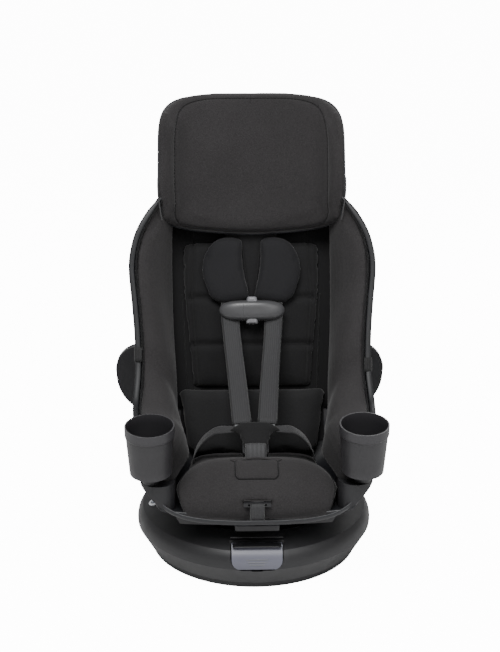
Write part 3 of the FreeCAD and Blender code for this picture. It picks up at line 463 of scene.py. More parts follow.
def plate(name, outline, place, front, rear, look, body, rings=16, centre=None):
    """A closed form over an outline, between two surfaces that are functions of (a, b, ring fraction)."""
    count = len(outline)
    middle = centre or sum(outline, Vector((0, 0))) / count
    vertices, faces = [], []
    for surface in (front, rear):
        base = len(vertices)
        vertices.append(place(middle.x, middle.y, surface(middle.x, middle.y, 0.0)))
        for k in range(1, rings + 1):
            f = k / rings
            for p in outline:
                q = middle.lerp(p, f)
                vertices.append(place(q.x, q.y, surface(q.x, q.y, f)))
        for i in range(count):
            faces.append((base, base + 1 + i, base + 1 + (i + 1) % count))
        for k in range(rings - 1):
            for i in range(count):
                a, b = base + 1 + k * count + i, base + 1 + k * count + (i + 1) % count
                faces.append((a, b, b + count, a + count))
    front_rim = 1 + (rings - 1) * count
    rear_rim = front_rim + 1 + rings * count
    for i in range(count):
        j = (i + 1) % count
        faces.append((front_rim + i, front_rim + j, rear_rim + j, rear_rim + i))
    return piece(name, vertices, faces, look, body)


def edge_round(fraction, power=7.0):
    """1 over the middle of a pad, falling to 0 at its rim along a rounded edge."""
    return math.sqrt(max(1 - fraction ** power, 0.0))


PUFF_FRAMES = 20  # steps of the cloth simulation that fills a pad


def puff(obj, voxel=5.0, pressure=4.0, cap=8.0, smooth=4):
    """Fills a pad: voxel remesh, a short cloth simulation under pressure, a cap on each point's travel."""
    remesh = obj.modifiers.new("remesh", "REMESH")
    remesh.mode, remesh.voxel_size = "VOXEL", voxel * MM
    apply_modifiers(obj)
    start = [v.co.copy() for v in obj.data.vertices]
    cloth = obj.modifiers.new("cloth", "CLOTH")
    cloth.settings.quality = 4
    cloth.settings.use_pressure = True
    cloth.settings.uniform_pressure_force = pressure
    cloth.settings.effector_weights.gravity = 0
    cloth.settings.bending_stiffness = 0.5
    for number in range(1, PUFF_FRAMES + 1):
        bpy.context.scene.frame_set(number)
    graph = bpy.context.evaluated_depsgraph_get()
    swollen = obj.evaluated_get(graph).to_mesh()
    moved = [v.co.copy() for v in swollen.vertices]
    obj.evaluated_get(graph).to_mesh_clear()
    obj.modifiers.clear()
    for vertex, old, new in zip(obj.data.vertices, start, moved):
        step = new - old
        if step.length > cap * MM:
            step *= cap * MM / step.length
        vertex.co = old + step
    bpy.context.scene.frame_set(1)
    mod = obj.modifiers.new("smooth", "SMOOTH")
    mod.factor, mod.iterations = 0.6, smooth
    apply_modifiers(obj)
    obj.modifiers.new("subdivision", "SUBSURF").levels = 1
    apply_modifiers(obj)


def sculpt(obj, shift):
    """Moves each vertex by what shift(position, normal) gives."""
    normals = [v.normal.copy() for v in obj.data.vertices]
    for vertex, normal in zip(obj.data.vertices, normals):
        vertex.co += shift(vertex.co, normal)
    obj.data.update()


def crease(obj, distance, width, depth, facing):
    """Sews a channel: points near a line sink by depth, where the surface looks along facing."""
    def shift(position, normal):
        near = distance(position)
        if normal.dot(facing) < 0.1 or near > 4 * width:
            return Vector()
        return facing * (-depth * MM * math.exp(-(near / width) ** 2))
    sculpt(obj, shift)


def line_distance(points, key):
    """Distance in millimetres from a polyline of (a, b) points, in the plane that key(position) gives."""
    segments = list(zip(points, points[1:]))

    def distance(position):
        p = Vector(key(position))
        best = 1e9
        for a, b in segments:
            a, b = Vector(a), Vector(b)
            along = b - a
            t = min(max((p - a).dot(along) / max(along.length_squared, 1e-9), 0.0), 1.0)
            best = min(best, (p - a - along * t).length)
        return best
    return distance


def surface_tree(obj):
    faces = [p.vertices[:] for p in obj.data.polygons]
    return BVHTree.FromPolygons([v.co for v in obj.data.vertices], faces)


def laid_on(obj, points, direction, lift=0.0):
    """Drops points onto a piece along a direction, and lifts them off it by lift."""
    tree, result = surface_tree(obj), []
    for p in points:
        hit, normal, _, _ = tree.ray_cast(p - direction * 0.2, direction)
        if hit is not None:
            result.append(hit - direction * lift * MM)
    return result


def cordline(name, runs, radius, look, body, closed=False):
    """Thin round piping or seam lines: one curve object with a spline for each run."""
    data = bpy.data.curves.new(name, "CURVE")
    data.dimensions, data.bevel_depth, data.bevel_resolution = "3D", radius * MM, 2
    for run in runs:
        spline = data.splines.new("POLY")
        spline.points.add(len(run) - 1)
        for point, p in zip(spline.points, run):
            point.co = (*p, 1.0)
        spline.use_cyclic_u = closed
    data.materials.append(look)
    obj = placed(name, data)
    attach(obj, body)
    return obj


def strap_frames(path, lean, facing):
    """The width and face directions along a strap; lean(f) is where its width points at a fraction f."""
    across, normals = [], []
    for i, tangent in enumerate(tangents(path)):
        across.append(square_to(lean(i / (len(path) - 1)), tangent))
        normal = tangent.cross(across[-1])
        normals.append(normal if normal.dot(facing) > 0 else -normal)
    return across, normals


def strap(name, path, width, frames, thickness, look, body, columns=9, crown=0.0):
    """A flat webbing run with a rounded selvedge, and UVs of width fraction and metres along it."""
    vertices, uvs, run = [], [], 0.0
    for i, (c, a, n) in enumerate(zip(path, *frames)):
        if i:
            run += (c - path[i - 1]).length
        a, n = a.normalized(), n.normalized()
        w = width(i) if callable(width) else width
        for side in (1, -1):
            for k in range(columns):
                f = (k / (columns - 1) * 2 - 1) * side
                edge = math.sqrt(max(1 - abs(f) ** 8, 0.0))
                lift = side * thickness / 2 * edge + crown * (1 - f * f)
                vertices.append(c + a * (f * w / 2 * MM) + n * (lift * MM))
                uvs.append(((f + 1) / 2, run))
    ring = 2 * columns
    faces = grid_faces(len(path), ring, wrap=True)
    faces.append(tuple(range(ring)))
    faces.append(tuple(range(len(vertices) - ring, len(vertices))))
    return piece(name, vertices, faces, look, body, uvs)


# ------------------------------------------------------------------ the shell and its rim
# stations from the top of the back, down, and forward to the front edge:
# (half width, rim y, rim z, keel y, keel z, squareness)
def back_station(half, height, rim_depth, keel_height=None, square=5.6):
    rim, keel = back(0, height, rim_depth), back(0, keel_height or height, -4)
    return (half, rim.y / MM, rim.z / MM, keel.y / MM, keel.z / MM, square)


SHELL_STATIONS = [
    back_station(112, 513, 46, square=2.6), back_station(142, 497, 92, square=3.2),
    back_station(171, 470, 119, square=4.4), back_station(195, 440, 128), back_station(216, 403, 131),
    back_station(227, 365, 130), back_station(230, 328, 128), back_station(225, 272, 126),
    back_station(220, 210, 126, 196), back_station(218, 143, 130, 110), (221, -14, 285, 112, 190, 4.4),
    (219, -55, 271, 92, 122, 3.2), (214, -95, 257, 58, 97, 2.8), (208, -130, 241, 0, 89, 2.6),
    (201, -160, 225, -60, 98, 2.6), (192, -187, 207, -112, 121, 2.8), (181, -206, 188, -170, 139, 3.0),
    (168, -214, 168, -213, 149, 3.0),
]
SHELL_ROWS = 92


def shell_rows():
    return catmull(SHELL_STATIONS, SHELL_ROWS)


def shell_section(station, count=21):
    """The right half of a section, from the keel to the rim."""
    half, rim_y, rim_z, keel_y, keel_z, square = station
    points = []
    for k in range(count):
        angle = math.pi / 2 * k / (count - 1)
        out = math.sin(angle) ** (2 / square)
        rise = 1 - math.cos(angle) ** (2 / square)
        points.append(at(half * out, keel_y + (rim_y - keel_y) * rise, keel_z + (rim_z - keel_z) * rise))
    return points


def make_shell():
    """The moulded bucket, open at the top for the headrest's neck and wings."""
    rows = [shell_section(s) for s in shell_rows()]
    full = [[Vector((-p.x, p.y, p.z)) for p in reversed(row[1:])] + row for row in rows]
    vertices = [p for row in full for p in row]
    obj = piece("seat_bucket", vertices, grid_faces(len(full), len(full[0])), SLOT_LOOKS["shell_plastic"],
                "seat")
    solid = obj.modifiers.new("wall", "SOLIDIFY")
    inward = obj.data.polygons[len(obj.data.polygons) // 4].normal.dot(Vector((0, 1, 0))) > 0
    solid.thickness, solid.offset = 4 * MM, -1.0 if inward else 1.0
    apply_modifiers(obj)
    neck = [(-30, 40), (-30, -40), (30, -40), (30, 40)]
    carve(obj, [back(x, h, d) for h in (400, 560) for x, d in neck])
    wings = [(-176, 48), (176, 48), (238, 168), (-238, 168)]
    carve(obj, [back(x, h, d) for h in (428, 600) for x, d in wings])
    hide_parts("seat_shell")


def carve(obj, corners):
    """Cuts an eight-cornered opening out of a piece."""
    mesh = bpy.data.meshes.new("opening")
    mesh.from_pydata(corners, [], [(0, 1, 2, 3), (7, 6, 5, 4), (0, 4, 5, 1), (1, 5, 6, 2), (2, 6, 7, 3),
                                   (3, 7, 4, 0)])
    rework(mesh, lambda work: None)
    cutter = placed("opening", mesh)
    cut = obj.modifiers.new("cut", "BOOLEAN")
    cut.operation, cut.object, cut.solver = "DIFFERENCE", cutter, "EXACT"
    apply_modifiers(obj)
    bpy.data.objects.remove(cutter)
    bpy.data.meshes.remove(mesh)


def rim_path(side, inset=0.0, start=2):
    """Points along the shell's rim, drawn in by inset."""
    rows = shell_rows()
    step = (len(rows) - 1) / (len(SHELL_STATIONS) - 1)
    return [at(side * (s[0] - inset), s[1], s[2]) for s in rows[int(start * step):]]


def make_rims():
    """The plastic edge strip that frames each side's padding."""
    count, corners = 90, 12
    inset, wide, high = 5.0, 5.6, 3.8
    for label, side in (("left", 1), ("right", -1)):
        path = resample(rim_path(side), count, closed=False)
        rings = []
        for i, (p, tangent) in enumerate(zip(path, tangents(path))):
            out = square_to(Vector((side, 0, 0)), tangent)
            face = tangent.cross(out) * -side
            if face.dot(Vector((0, -1, 0.6))) < 0:
                face = -face
            half = wide * min(1.0, 0.35 + 0.65 * min(i, count - 1 - i) / 6)
            ring = []
            for k in range(corners):
                angle = 2 * math.pi * k / corners
                ring.append(p + out * ((half * signed_power(math.cos(angle), 0.6) - inset) * MM)
                            + face * (high * signed_power(math.sin(angle), 0.7) * MM))
            rings.append(ring)
        loft(f"rim_strip_{label}", rings, RIM_LOOK, "seat")


def make_front_lip():
    """The moulded lip that joins both sides below the cushion's front."""
    right = [(190, -178, 202), (178, -202, 184), (156, -216, 166), (128, -226, 155), (88, -232, 149),
             (45, -235, 147), (0, -236, 147)]
    count, corners = 110, 14
    path = smooth_path([at(-x, y, z) for x, y, z in right] + [at(*p) for p in reversed(right[:-1])], count)
    rings = []
    for i, (p, tangent) in enumerate(zip(path, tangents(path))):
        out = square_to(Vector((p.x, p.y, 0)).normalized(), tangent)
        rise = tangent.cross(out).normalized()
        if rise.z < 0:
            rise = -rise
        taper = min(1.0, (min(i, count - 1 - i) + 1) / 16) * MM
        ring = []
        for k in range(corners):
            angle = 2 * math.pi * k / corners
            side, up = math.cos(angle), math.sin(angle)
            ring.append(p + out * ((2.6 * side + 1.5 * up) * taper) + rise * (5.2 * up * taper))
        rings.append(ring)
    loft("front_lip", rings, SLOT_LOOKS["shell_plastic"], "seat")


# ------------------------------------------------------------------ side bolsters
def crease_points():
    """The inner crease of the padding, from the shoulder to the front of the arm."""
    upper = [back(132, 486, 40), back(150, 462, 30), back(151, 425, 22), back(151, 380, 16), back(151, 320, 14),
             back(151, 260, 14), back(151, 200, 16), back(150, 140, 22), back(148, 90, 34)]
    lower = [at(145, 60, 176), at(138, 16, 192), at(128, -36, 206), at(118, -82, 216), at(111, -116, 222),
             at(115, -146, 222), at(127, -172, 210), at(137, -188, 196), at(141, -195, 188)]
    return upper + lower


def bolster_rows(count=64):
    """(inner point, outer point, way it bulges, size) along the bolster, for the child's left."""
    inner = smooth_path(crease_points(), count)
    outer = resample([p for p in rim_path(1, inset=11.0, start=1.6) if p.y > -0.186 or p.z > 0.3], count,
                     closed=False)
    pivot = at(0, -120, 380)
    rows = []
    for i in range(count):
        a, b = inner[i], outer[i]
        before, after = max(i - 1, 0), min(i + 1, count - 1)
        tangent = (outer[after] + inner[after] - outer[before] - inner[before]).normalized()
        chord = b - a
        bulge = tangent.cross(chord).normalized()
        if bulge.dot(pivot - (a + b) / 2) < 0:
            bulge = -bulge
        end = min(1.0, min(i + 0.3, count - 1 - i + 0.3) / 5.0)
        end = math.sqrt(1 - (1 - end) ** 2)
        rows.append((a, b, bulge, end))
    return rows


PAINTED_SHADE_STEPS = 11


def paint_bolster_shade(obj, side):
    """Stores painted shade for the bolster's cloth: dark in the inner crease where the shade falls, full at the
    rim.
    """
    rows = bolster_rows()
    tree = KDTree(len(rows) * PAINTED_SHADE_STEPS)
    for i, (a, b, bulge, _) in enumerate(rows):
        for k in range(PAINTED_SHADE_STEPS):
            p = a.lerp(b, k / (PAINTED_SHADE_STEPS - 1)) + bulge * (12 * MM)
            tree.insert(Vector((side * p.x, p.y, p.z)), i * PAINTED_SHADE_STEPS + k)
    tree.balance()
    steps = [tree.find(vertex.co)[1] % PAINTED_SHADE_STEPS for vertex in obj.data.vertices]
    painted_shade = obj.data.attributes.new("painted_shade", "FLOAT", "POINT")
    # painted shade: 0.42 in the inner crease, rising to 1.08 towards the rim
    painted_shade.data.foreach_set("value", [0.42 + 0.66 * smooth_step(1.5, 6.5, step) for step in steps])


def make_bolster(label, side):
    """The padding on one side, full towards the child and hidden in the bucket behind."""
    rings = []
    front, hidden = 18, 9
    for a, b, bulge, end in bolster_rows():
        ring, full = [], 29.0 - 14.0 * smooth_step(90, 340, to_back(a)[1])
        for k in range(front):
            u = k / (front - 1)
            crown = full * (1 - (1 - u) ** 2.6) ** 0.9 * (1 - u ** 4) ** 0.8
            ring.append(a.lerp(b, u) + bulge * (crown * end * MM))
        for k in range(1, hidden):
            u = 1 - k / hidden
            sunk = 17.0 * (4 * u * (1 - u)) ** 0.5
            ring.append(a.lerp(b, u) - bulge * (sunk * end * MM))
        middle = (a + b) / 2
        ring = [middle + (p - middle) * (0.86 + 0.14 * end) for p in ring]
        rings.append([Vector((side * p.x, p.y, p.z)) for p in ring])
    obj = loft(f"bolster_pad_{label}", rings, BOLSTER_CLOTH, "seat")
    puff(obj, voxel=5.0, pressure=3.0, cap=4.0, smooth=8)
    paint_bolster_shade(obj, side)
    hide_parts(f"bolster_{label}")


def make_bolster_seams(label, side):
    """Piped edge of the padding beside the rim strip."""
    rim = resample(rim_path(side, inset=13.5, start=1.9), 110, closed=False)
    cordline(f"bolster_piping_{label}", [rim], 1.6, PIPING, "seat")


# ------------------------------------------------------------------ headrest
HEAD_FLAT, HEAD_BEND, HEAD_TURN, HEAD_DEPTH = 98.0, 62.0, math.radians(75), 58.0
HEAD_ARC = HEAD_BEND * HEAD_TURN


def on_head(s, height, lift):
    """A point of the bent headrest: distance round the bend, height, and lift off the mid surface."""
    a, side = abs(s), math.copysign(1.0, s)
    turn = min(max((a - HEAD_FLAT) / HEAD_BEND, 0.0), HEAD_TURN)
    rest = max(a - HEAD_FLAT - HEAD_ARC, 0.0)
    sine, cosine = math.sin(turn), math.cos(turn)
    x = min(a, HEAD_FLAT) + (HEAD_BEND - lift) * sine + rest * cosine
    depth = HEAD_DEPTH + HEAD_BEND * (1 - cosine) + rest * sine + lift * cosine
    return back(side * x, height, depth)


def round_head(x):
    """The distance round the headrest's bend at which it has a given half width."""
    side, a = math.copysign(1.0, x), abs(x)
    reach = HEAD_FLAT + HEAD_BEND * math.sin(HEAD_TURN)
    if a <= HEAD_FLAT:
        return x
    if a <= reach:
        return side * (HEAD_FLAT + HEAD_BEND * math.asin((a - HEAD_FLAT) / HEAD_BEND))
    return side * (HEAD_FLAT + HEAD_ARC + (a - reach) / math.cos(HEAD_TURN))


def head_outline(corners, count=140):
    """A closed (round, height) outline from right-hand (half width, height, radius) corners."""
    outline = resample(round_corners(mirrored(corners), 14), 400)
    return resample([Vector((round_head(p.x), p.y)) for p in outline], count)


HEAD_EDGE = [(0, 684, 40), (112, 684, 50), (151, 661, 26), (165.5, 612, 36), (166.5, 500, 60),
             (166, 470, 30), (160, 421, 9), (110, 411, 60), (0, 402, 110)]
HEAD_SEAM = [(0, 666, 40), (103, 666, 44), (142, 648, 26), (157, 604, 34), (158, 480, 60),
             (152, 425, 22), (104, 416, 60), (0, 408, 90)]
HEAD_CENTRE = Vector((0, 540))


def half_thickness(s):
    return 17.0 - 6.0 * smooth_step(80, 180, abs(s))


def make_headrest():
    def front(s, height, f):
        return half_thickness(s) * (0.25 + 0.75 * edge_round(f, 9.0))

    def rear(s, height, f):
        return -half_thickness(s) * (0.86 + 0.06 * edge_round(f, 9.0)) + 1.0
    pad = plate("headrest_cushion", head_outline(HEAD_EDGE), on_head, front, rear, PANEL_CLOTH, "headrest",
                rings=24, centre=HEAD_CENTRE)
    puff(pad, voxel=4.5, pressure=3.5, cap=4.0, smooth=4)
    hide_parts("headrest_pad")
    tree, hits, inward = surface_tree(pad), [], []
    for p in head_outline(HEAD_SEAM, 160):
        a = on_head(p.x, p.y, 32)
        d = (on_head(p.x, p.y, -8) - a).normalized()
        hit = tree.ray_cast(a, d, 0.06)[0]
        if hit is not None:
            hits.append(hit)
            inward.append(d)

    def shift(position, normal):
        near = min((position - h).length for h in hits) / MM
        return normal * (-2.0 * MM * math.exp(-(near / 3.2) ** 2)) if near < 11 else Vector()
    sculpt(pad, shift)
    cordline("headrest_seam", [[h + d * (1.1 * MM) for h, d in zip(hits, inward)]], 0.8, SEAM_SHADOW, "headrest",
             closed=True)
    joint = [on_head(0, height, 40) for height in range(656, 676, 2)]
    cordline("headrest_joint", [laid_on(pad, joint, -FORWARD_BACK, -0.3)], 0.6, SEAM_SHADOW, "headrest")
    edge = [(max(x - 1.2, 0), h + (1.5 if h < 440 else -1.5), r) for x, h, r in HEAD_EDGE]
    shell = plate("headrest_back", head_outline(edge), on_head, lambda s, h, f: 1.5 - half_thickness(s),
                  lambda s, h, f: -half_thickness(s) - 1.0 - 1.8 * edge_round(f, 20.0),
                  SLOT_LOOKS["shell_plastic"], "headrest", rings=18, centre=HEAD_CENTRE)
    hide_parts("headrest_shell")
    tips = ((167.6, 500), (167.8, 485), (167.2, 470), (165.5, 455), (163.2, 438), (161.0, 424))
    wing = [[on_head(side * round_head(x), height, 3.0 - half_thickness(170)) for x, height in tips]
            for side in (-1, 1)]
    cordline("headrest_piping", wing, 1.2, PIPE_LIGHT, "headrest")


# ------------------------------------------------------------------ back, hip and seat padding
def back_key(position):
    x, height, _ = to_back(position)
    return (x, height)


def make_back_pad():
    right = [(0, 399, 30), (137, 399, 16), (139, 300, 40), (118, 106, 12), (0, 106, 30)]
    outline = resample(round_corners(mirrored(right)), 120)

    def front(x, height, f):
        return 12 + 20 * edge_round(f, 8.0) - 2.5 * (abs(x) / 140) ** 2

    def rear(x, height, f):
        return 11.0
    pad = plate("back_insert", outline, back, front, rear, BLACK_CLOTH, "seat", rings=20,
                centre=Vector((0, 250)))
    puff(pad, voxel=5.0, pressure=4.0, cap=3.5)
    edge = 113.0
    lines = [[(-edge - 4, 285), (edge + 4, 285)], [(-edge, 194), (edge, 194)]]
    for line in lines:
        crease(pad, line_distance(line, back_key), 7.0, 7.0, FORWARD_BACK)
    for side in (-1, 1):
        run = [(side * 112, 402), (side * 119, 285), (side * 112, 194), (side * 106, 104)]
        crease(pad, line_distance(run, back_key), 4.0, 4.5, FORWARD_BACK)
        lines.append(run)
    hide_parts("back_pad")
    runs = []
    for line in lines:
        dense = resample([Vector(p) for p in line], 60, closed=False)
        runs.append(laid_on(pad, [back(p.x, p.y, 60) for p in dense], -FORWARD_BACK, -0.2))
    cordline("back_insert_seams", runs, 0.8, SEAM_SHADOW, "seat")


def make_side_liners():
    """The cover's strips between the back insert and the side padding."""
    corners = round_corners([(112, 470, 6), (160, 470, 6), (160, 70, 6), (112, 70, 6)])

    def front(x, height, f):
        return 10.4 + 1.6 * edge_round(f, 8.0) + 6.0 * smooth_step(142, 160, abs(x))
    for label, side in (("left", 1), ("right", -1)):
        outline = resample([Vector((side * p.x, p.y)) for p in corners], 80)
        plate(f"liner_strip_{label}", outline, back, front, lambda x, h, f: 10.2, LINER_CLOTH, "seat",
              rings=8)
        edge = [[back(side * (126 + 0.045 * (h - 100)), h, 13.4) for h in range(96, 300, 6)]]
        cordline(f"liner_piping_{label}", edge, 1.2, PIPING, "seat")


def make_hip_pad():
    right = [(0, 113, 30), (149, 113, 7), (128, -20, 22), (0, -25, 40)]
    outline = resample(round_corners(mirrored(right)), 110)

    def front(x, height, f):
        return 14 + 32 * edge_round(f, 7.0) - 5 * (abs(x) / 140) ** 2 + 4 * smooth_step(110, 20, height)

    def rear(x, height, f):
        return 11.0
    # the hip pad takes the black cloth painted lighter, as painted light against its shadow
    pad = plate("hip_insert", outline, back, front, rear, HIP_CLOTH_PAINTED_LIGHTER, "seat", rings=14,
                centre=Vector((0, 45)))
    puff(pad, voxel=5.0, pressure=4.0, cap=6.0)
    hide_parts("hip_pad")


# the cushion's section along the middle, its half width on plan, and the pocket in its top
CUSHION_SIDE = [(30, 134), (36, 146), (28, 158), (0, 165), (-56, 182), (-105, 204), (-138, 220),
                (-166, 226), (-193, 219), (-214, 199), (-226, 172), (-227, 152), (-220, 141),
                (-204, 139), (-160, 144), (-105, 137), (-40, 132)]
CUSHION_PLAN = [(-232, 92), (-226, 110), (-213, 132), (-196, 143), (-176, 146), (-152, 143),
                (-128, 138), (-96, 131), (-40, 126), (40, 125)]
POCKET_REAR, POCKET_FRONT = -160.0, -203.0


def cushion_half(y):
    """The cushion's half width at a distance along the seat, on the plan's oval."""
    for (y0, w0), (y1, w1) in zip(CUSHION_PLAN, CUSHION_PLAN[1:]):
        if y <= y1:
            return w0 + (w1 - w0) * smooth_step(y0, y1, y)
    return CUSHION_PLAN[-1][1]


def make_cushion():
    profile = catmull(CUSHION_SIDE + [CUSHION_SIDE[0]], 72)[:-1]
    rings, count = [], 44
    for i in range(count):
        f = -1 + 2 * (i + 0.5) / count
        f = signed_power(f, 0.7)
        drop, tuck = 1 - abs(f) ** 4 * 0.55, 1 - abs(f) ** 5 * 0.10
        ring = []
        for y, z in profile:
            high = 142 + (z - 142) * (drop if z > 142 else 1.0)
            along = -120 + (y + 120) * (tuck if y < -120 else 1.0)
            ring.append(at(f * cushion_half(along), along, high))
        rings.append(ring)
    pad = loft("thigh_cushion", rings, GREY_CLOTH, "seat")
    puff(pad, voxel=5.0, pressure=4.0, cap=5.0)
    pocket = [(-37, POCKET_REAR), (37, POCKET_REAR), (37, POCKET_FRONT), (-37, POCKET_FRONT),
              (-37, POCKET_REAR)]
    slit = [(-22, 178), (22, 178)]
    crease(pad, line_distance(pocket, lambda p: (p.x / MM, p.y / MM)), 3.0, 3.4, -DOWN)
    crease(pad, line_distance(slit, lambda p: (p.x / MM, p.z / MM)), 3.4, 5.0, FRONT)
    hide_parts("seat_cushion")
    return pad


def make_cushion_details(pad):
    corners = round_corners([(-37, POCKET_REAR, 7), (37, POCKET_REAR, 7), (37, POCKET_FRONT, 9),
                             (-37, POCKET_FRONT, 9)])
    loop = laid_on(pad, [at(p.x, p.y, 300) for p in resample(corners, 110)], DOWN, 0.4)
    cordline("pocket_piping", [loop], 1.3, PIPING, "seat", closed=True)
    lip = [at(x, POCKET_REAR + 5 - 0.006 * x * x, 300) for x in range(-44, 45, 3)]
    cordline("pocket_mouth", [laid_on(pad, lip, DOWN, 0.4)], 2.2, GREY_CLOTH, "seat")
    lines = []
    for side in (-1, 1):
        run = [(112, -108), (117, -130), (125, -152), (133, -174), (134, -192), (127, -210)]
        lines.append(laid_on(pad, [at(side * x, y, 300) for x, y in catmull(run, 60)], DOWN, -0.2))
    cordline("cushion_seams", lines, 1.0, SEAM_SHADOW, "seat")
    slit = [at(x, -300, 180.5 + 0.002 * x * x) for x in range(-24, 25, 2)]
    cordline("adjuster_slit_lip", [laid_on(pad, slit, -FRONT, 0.4)], 2.0, GREY_CLOTH, "seat")


def make_shoulder_straps():
    """The webbing from the shoulder pads to the buckle."""
    for label, side in (("left", 1), ("right", -1)):
        lower = at(side * 23, -64, 258)
        upper = ((38, 300, 44), (40, 280, 44.5), (41, 264, 50), (41, 250, 57), (41, 236, 60), (40, 220, 64),
                 (36, 178, 86), (31, 130, 118))
        stations = [back(side * x, height, depth) for x, height, depth in upper] + [lower]
        path = smooth_path(stations, 60)
        frames = strap_frames(path, lambda f: Vector((1, side * (0.20 * smooth_step(0, 1, f) - 0.10), 0)),
                              FRONT)
        obj = strap(f"shoulder_webbing_{label}", path, lambda i: 36 + 1.5 * math.sin(i * 0.11), frames, 1.6,
                    WEBBING, "seat", crown=1.2)
        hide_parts(f"shoulder_strap_{label}")
        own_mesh(obj)


def make_lap_straps():
    """The webbing from the buckle's tongues down beside the hips."""
    for label, side in (("left", 1), ("right", -1)):
        route = ((34, -74, 252), (52, -68, 248), (70, -56, 241), (86, -44, 226), (99, -30, 206),
                 (108, -18, 184), (112, -12, 168))
        path = smooth_path([at(side * x, y, z) for x, y, z in route], 40)
        frames = strap_frames(path, lambda f: Vector((-0.10 * side, 0.95, 0.02 + 0.25 * smooth_step(0, 1, f))),
                              -DOWN)
        strap(f"lap_webbing_{label}", path, 30.0, frames, 1.6, WEBBING, "seat", crown=1.0)
    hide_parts("lap_straps")


def make_harness_covers():
    """The two shoulder pads, with a sewn line inside the edge of each."""
    for label, side in (("left", 1), ("right", -1)):
        right = [(17, 399, 5), (46, 405, 20), (84, 392, 30), (104, 340, 44), (82, 274, 34), (40, 268, 24),
                 (3, 276, 6), (4, 296, 10), (13, 345, 30)]
        outline = resample([Vector((side * p.x, p.y)) for p in round_corners(right)], 80)

        def front(x, height, f):
            return 43 + 12 * edge_round(f, 12.0) - 5 * smooth_step(55, 104, abs(x))

        def rear(x, height, f):
            return 40.0
        pad = plate(f"shoulder_pad_{label}", outline, back, front, rear, COVER_CLOTH, "headrest",
                    rings=12)
        puff(pad, voxel=3.5, pressure=3.0, cap=3.0)
        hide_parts(f"harness_cover_{label}")
        loop = [back(p.x, p.y, 80) for p in outline]
        centre = sum(loop, Vector()) / len(loop)
        loop = [centre + (p - centre) * 0.955 for p in loop]
        cordline(f"shoulder_pad_edge_{label}", [laid_on(pad, loop, -FORWARD_BACK, 0.1)], 0.9, SEAM_SHADOW,
                 "headrest", closed=True)


def make_throat_panel():
    """The cloth panel behind the two shoulder pads."""
    corners = mirrored([(0, 414, 6), (52, 414, 6), (34, 330, 8), (8, 276, 6)])
    outline = resample(round_corners(corners), 70)
    plate("throat_panel", outline, back, lambda x, h, f: 38.6 + 2.6 * edge_round(f, 6.0), lambda x, h, f: 37.4,
          BLACK_CLOTH, "headrest", rings=8)


CLIP_SPLIT = -17.0


def split_off(obj, name, x, gap=0.25):
    """Cuts a piece in two across x: obj keeps the side of larger x, and the other part is returned."""
    twin = placed(name, obj.data.copy())
    for part, sign in ((obj, 1), (twin, -1)):
        def halve(work):
            geometry = work.verts[:] + work.edges[:] + work.faces[:]
            bmesh.ops.bisect_plane(work, geom=geometry, plane_co=((x + sign * gap) * MM, 0, 0),
                                   plane_no=(-sign, 0, 0), clear_outer=True)
            bmesh.ops.holes_fill(work, edges=[e for e in work.edges if e.is_boundary], sides=0)
        rework(part.data, halve)
        part.data.set_sharp_from_angle(angle=math.radians(50))
    return twin


def make_chest_clip():
    """Two moulded halves with a joint line, and a squeeze tab above and below."""
    def front(x, height, f):
        return 61.5 + (15.5 - (abs(x) / 60) ** 2.2 * 6.0) * edge_round(f, 4.5)
    corners = round_corners(mirrored([(0, 277.5, 30), (42, 276, 18), (62, 267, 11), (63, 250, 11),
                                      (46, 238.5, 18), (0, 236.5, 30)]))
    body = plate("clip_body", resample(corners, 110), back, front, lambda x, h, f: 60.0, CLIP_LOOK, "headrest",
                 rings=16)
    tongue = split_off(body, "clip_tongue", CLIP_SPLIT)
    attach(tongue, "headrest")
    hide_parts("chest_clip_body")
    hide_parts("chest_clip_tongue")
    for label, low, high, taper in (("top", 270, 284, 3), ("bottom", 231, 246, 2)):
        corners = [(-12, low, 4), (12, low, 4), (12 - taper, high, 4), (-12 + taper, high, 4)]
        tab = plate(f"clip_tab_{label}", resample(round_corners(corners), 44), back,
                    lambda x, h, f: 64 + 9.0 * edge_round(f, 4.0), lambda x, h, f: 63.0,
                    SLOT_LOOKS["silver_plastic"], f"chest_clip_button_{label}", rings=8)
        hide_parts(f"chest_clip_button_{label}")


BUCKLE_TILT = math.radians(29)
BUCKLE_Y, BUCKLE_Z = -128, 222


def buckle(x, up, lift):
    """A point in the buckle's own frame: up along it towards the child, lift off its face."""
    y = BUCKLE_Y + up * math.cos(BUCKLE_TILT) - lift * math.sin(BUCKLE_TILT)
    z = BUCKLE_Z + up * math.sin(BUCKLE_TILT) + lift * math.cos(BUCKLE_TILT)
    return at(x, y, z)


def make_buckle_cover():
    """The padded cover that wraps the buckle, flared towards the child."""
    right = [(0, 2, 6), (23, 2, 6), (27, 24, 16), (34, 44, 10), (50, 58, 8), (26, 66, 20), (0, 69, 20)]
    outline = resample(round_corners(mirrored(right)), 90)

    def drape(x):
        return 10 * smooth_step(20, 52, abs(x))

    def front(x, up, f):
        return 12.5 + 6.5 * edge_round(f, 6.0) - drape(x)

    def rear(x, up, f):
        return 12.0 - drape(x)
    pad = plate("buckle_pad", outline, buckle, front, rear, BLACK_CLOTH, "seat", rings=12)
    puff(pad, voxel=3.5, pressure=3.0, cap=2.5)
    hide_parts("buckle_cover")
    route = ((-34, -8), (-24, 4), (-12, 14), (0, 20.5), (9, 22), (14, 17))
    path = smooth_path([buckle(0, up, lift) for up, lift in route], 30)
    band = strap("buckle_band", path, 38.0, strap_frames(path, lambda f: ACROSS, -DOWN), 1.8, BAND, "seat",
                 crown=0.6)
    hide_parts("crotch_strap")


def make_adjuster():
    """The harness pull strap that drops from its slot down the cushion's front."""
    route = ((-221, 179), (-231, 177), (-234, 168), (-235, 158), (-233, 149), (-228, 143))
    path = smooth_path([at(0, y, z) for y, z in route], 30)
    obj = strap("adjuster_webbing", path, 25.0, strap_frames(path, lambda f: ACROSS, FRONT), 1.8, WEBBING,
                "seat", crown=0.5)
    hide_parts("adjuster_strap")


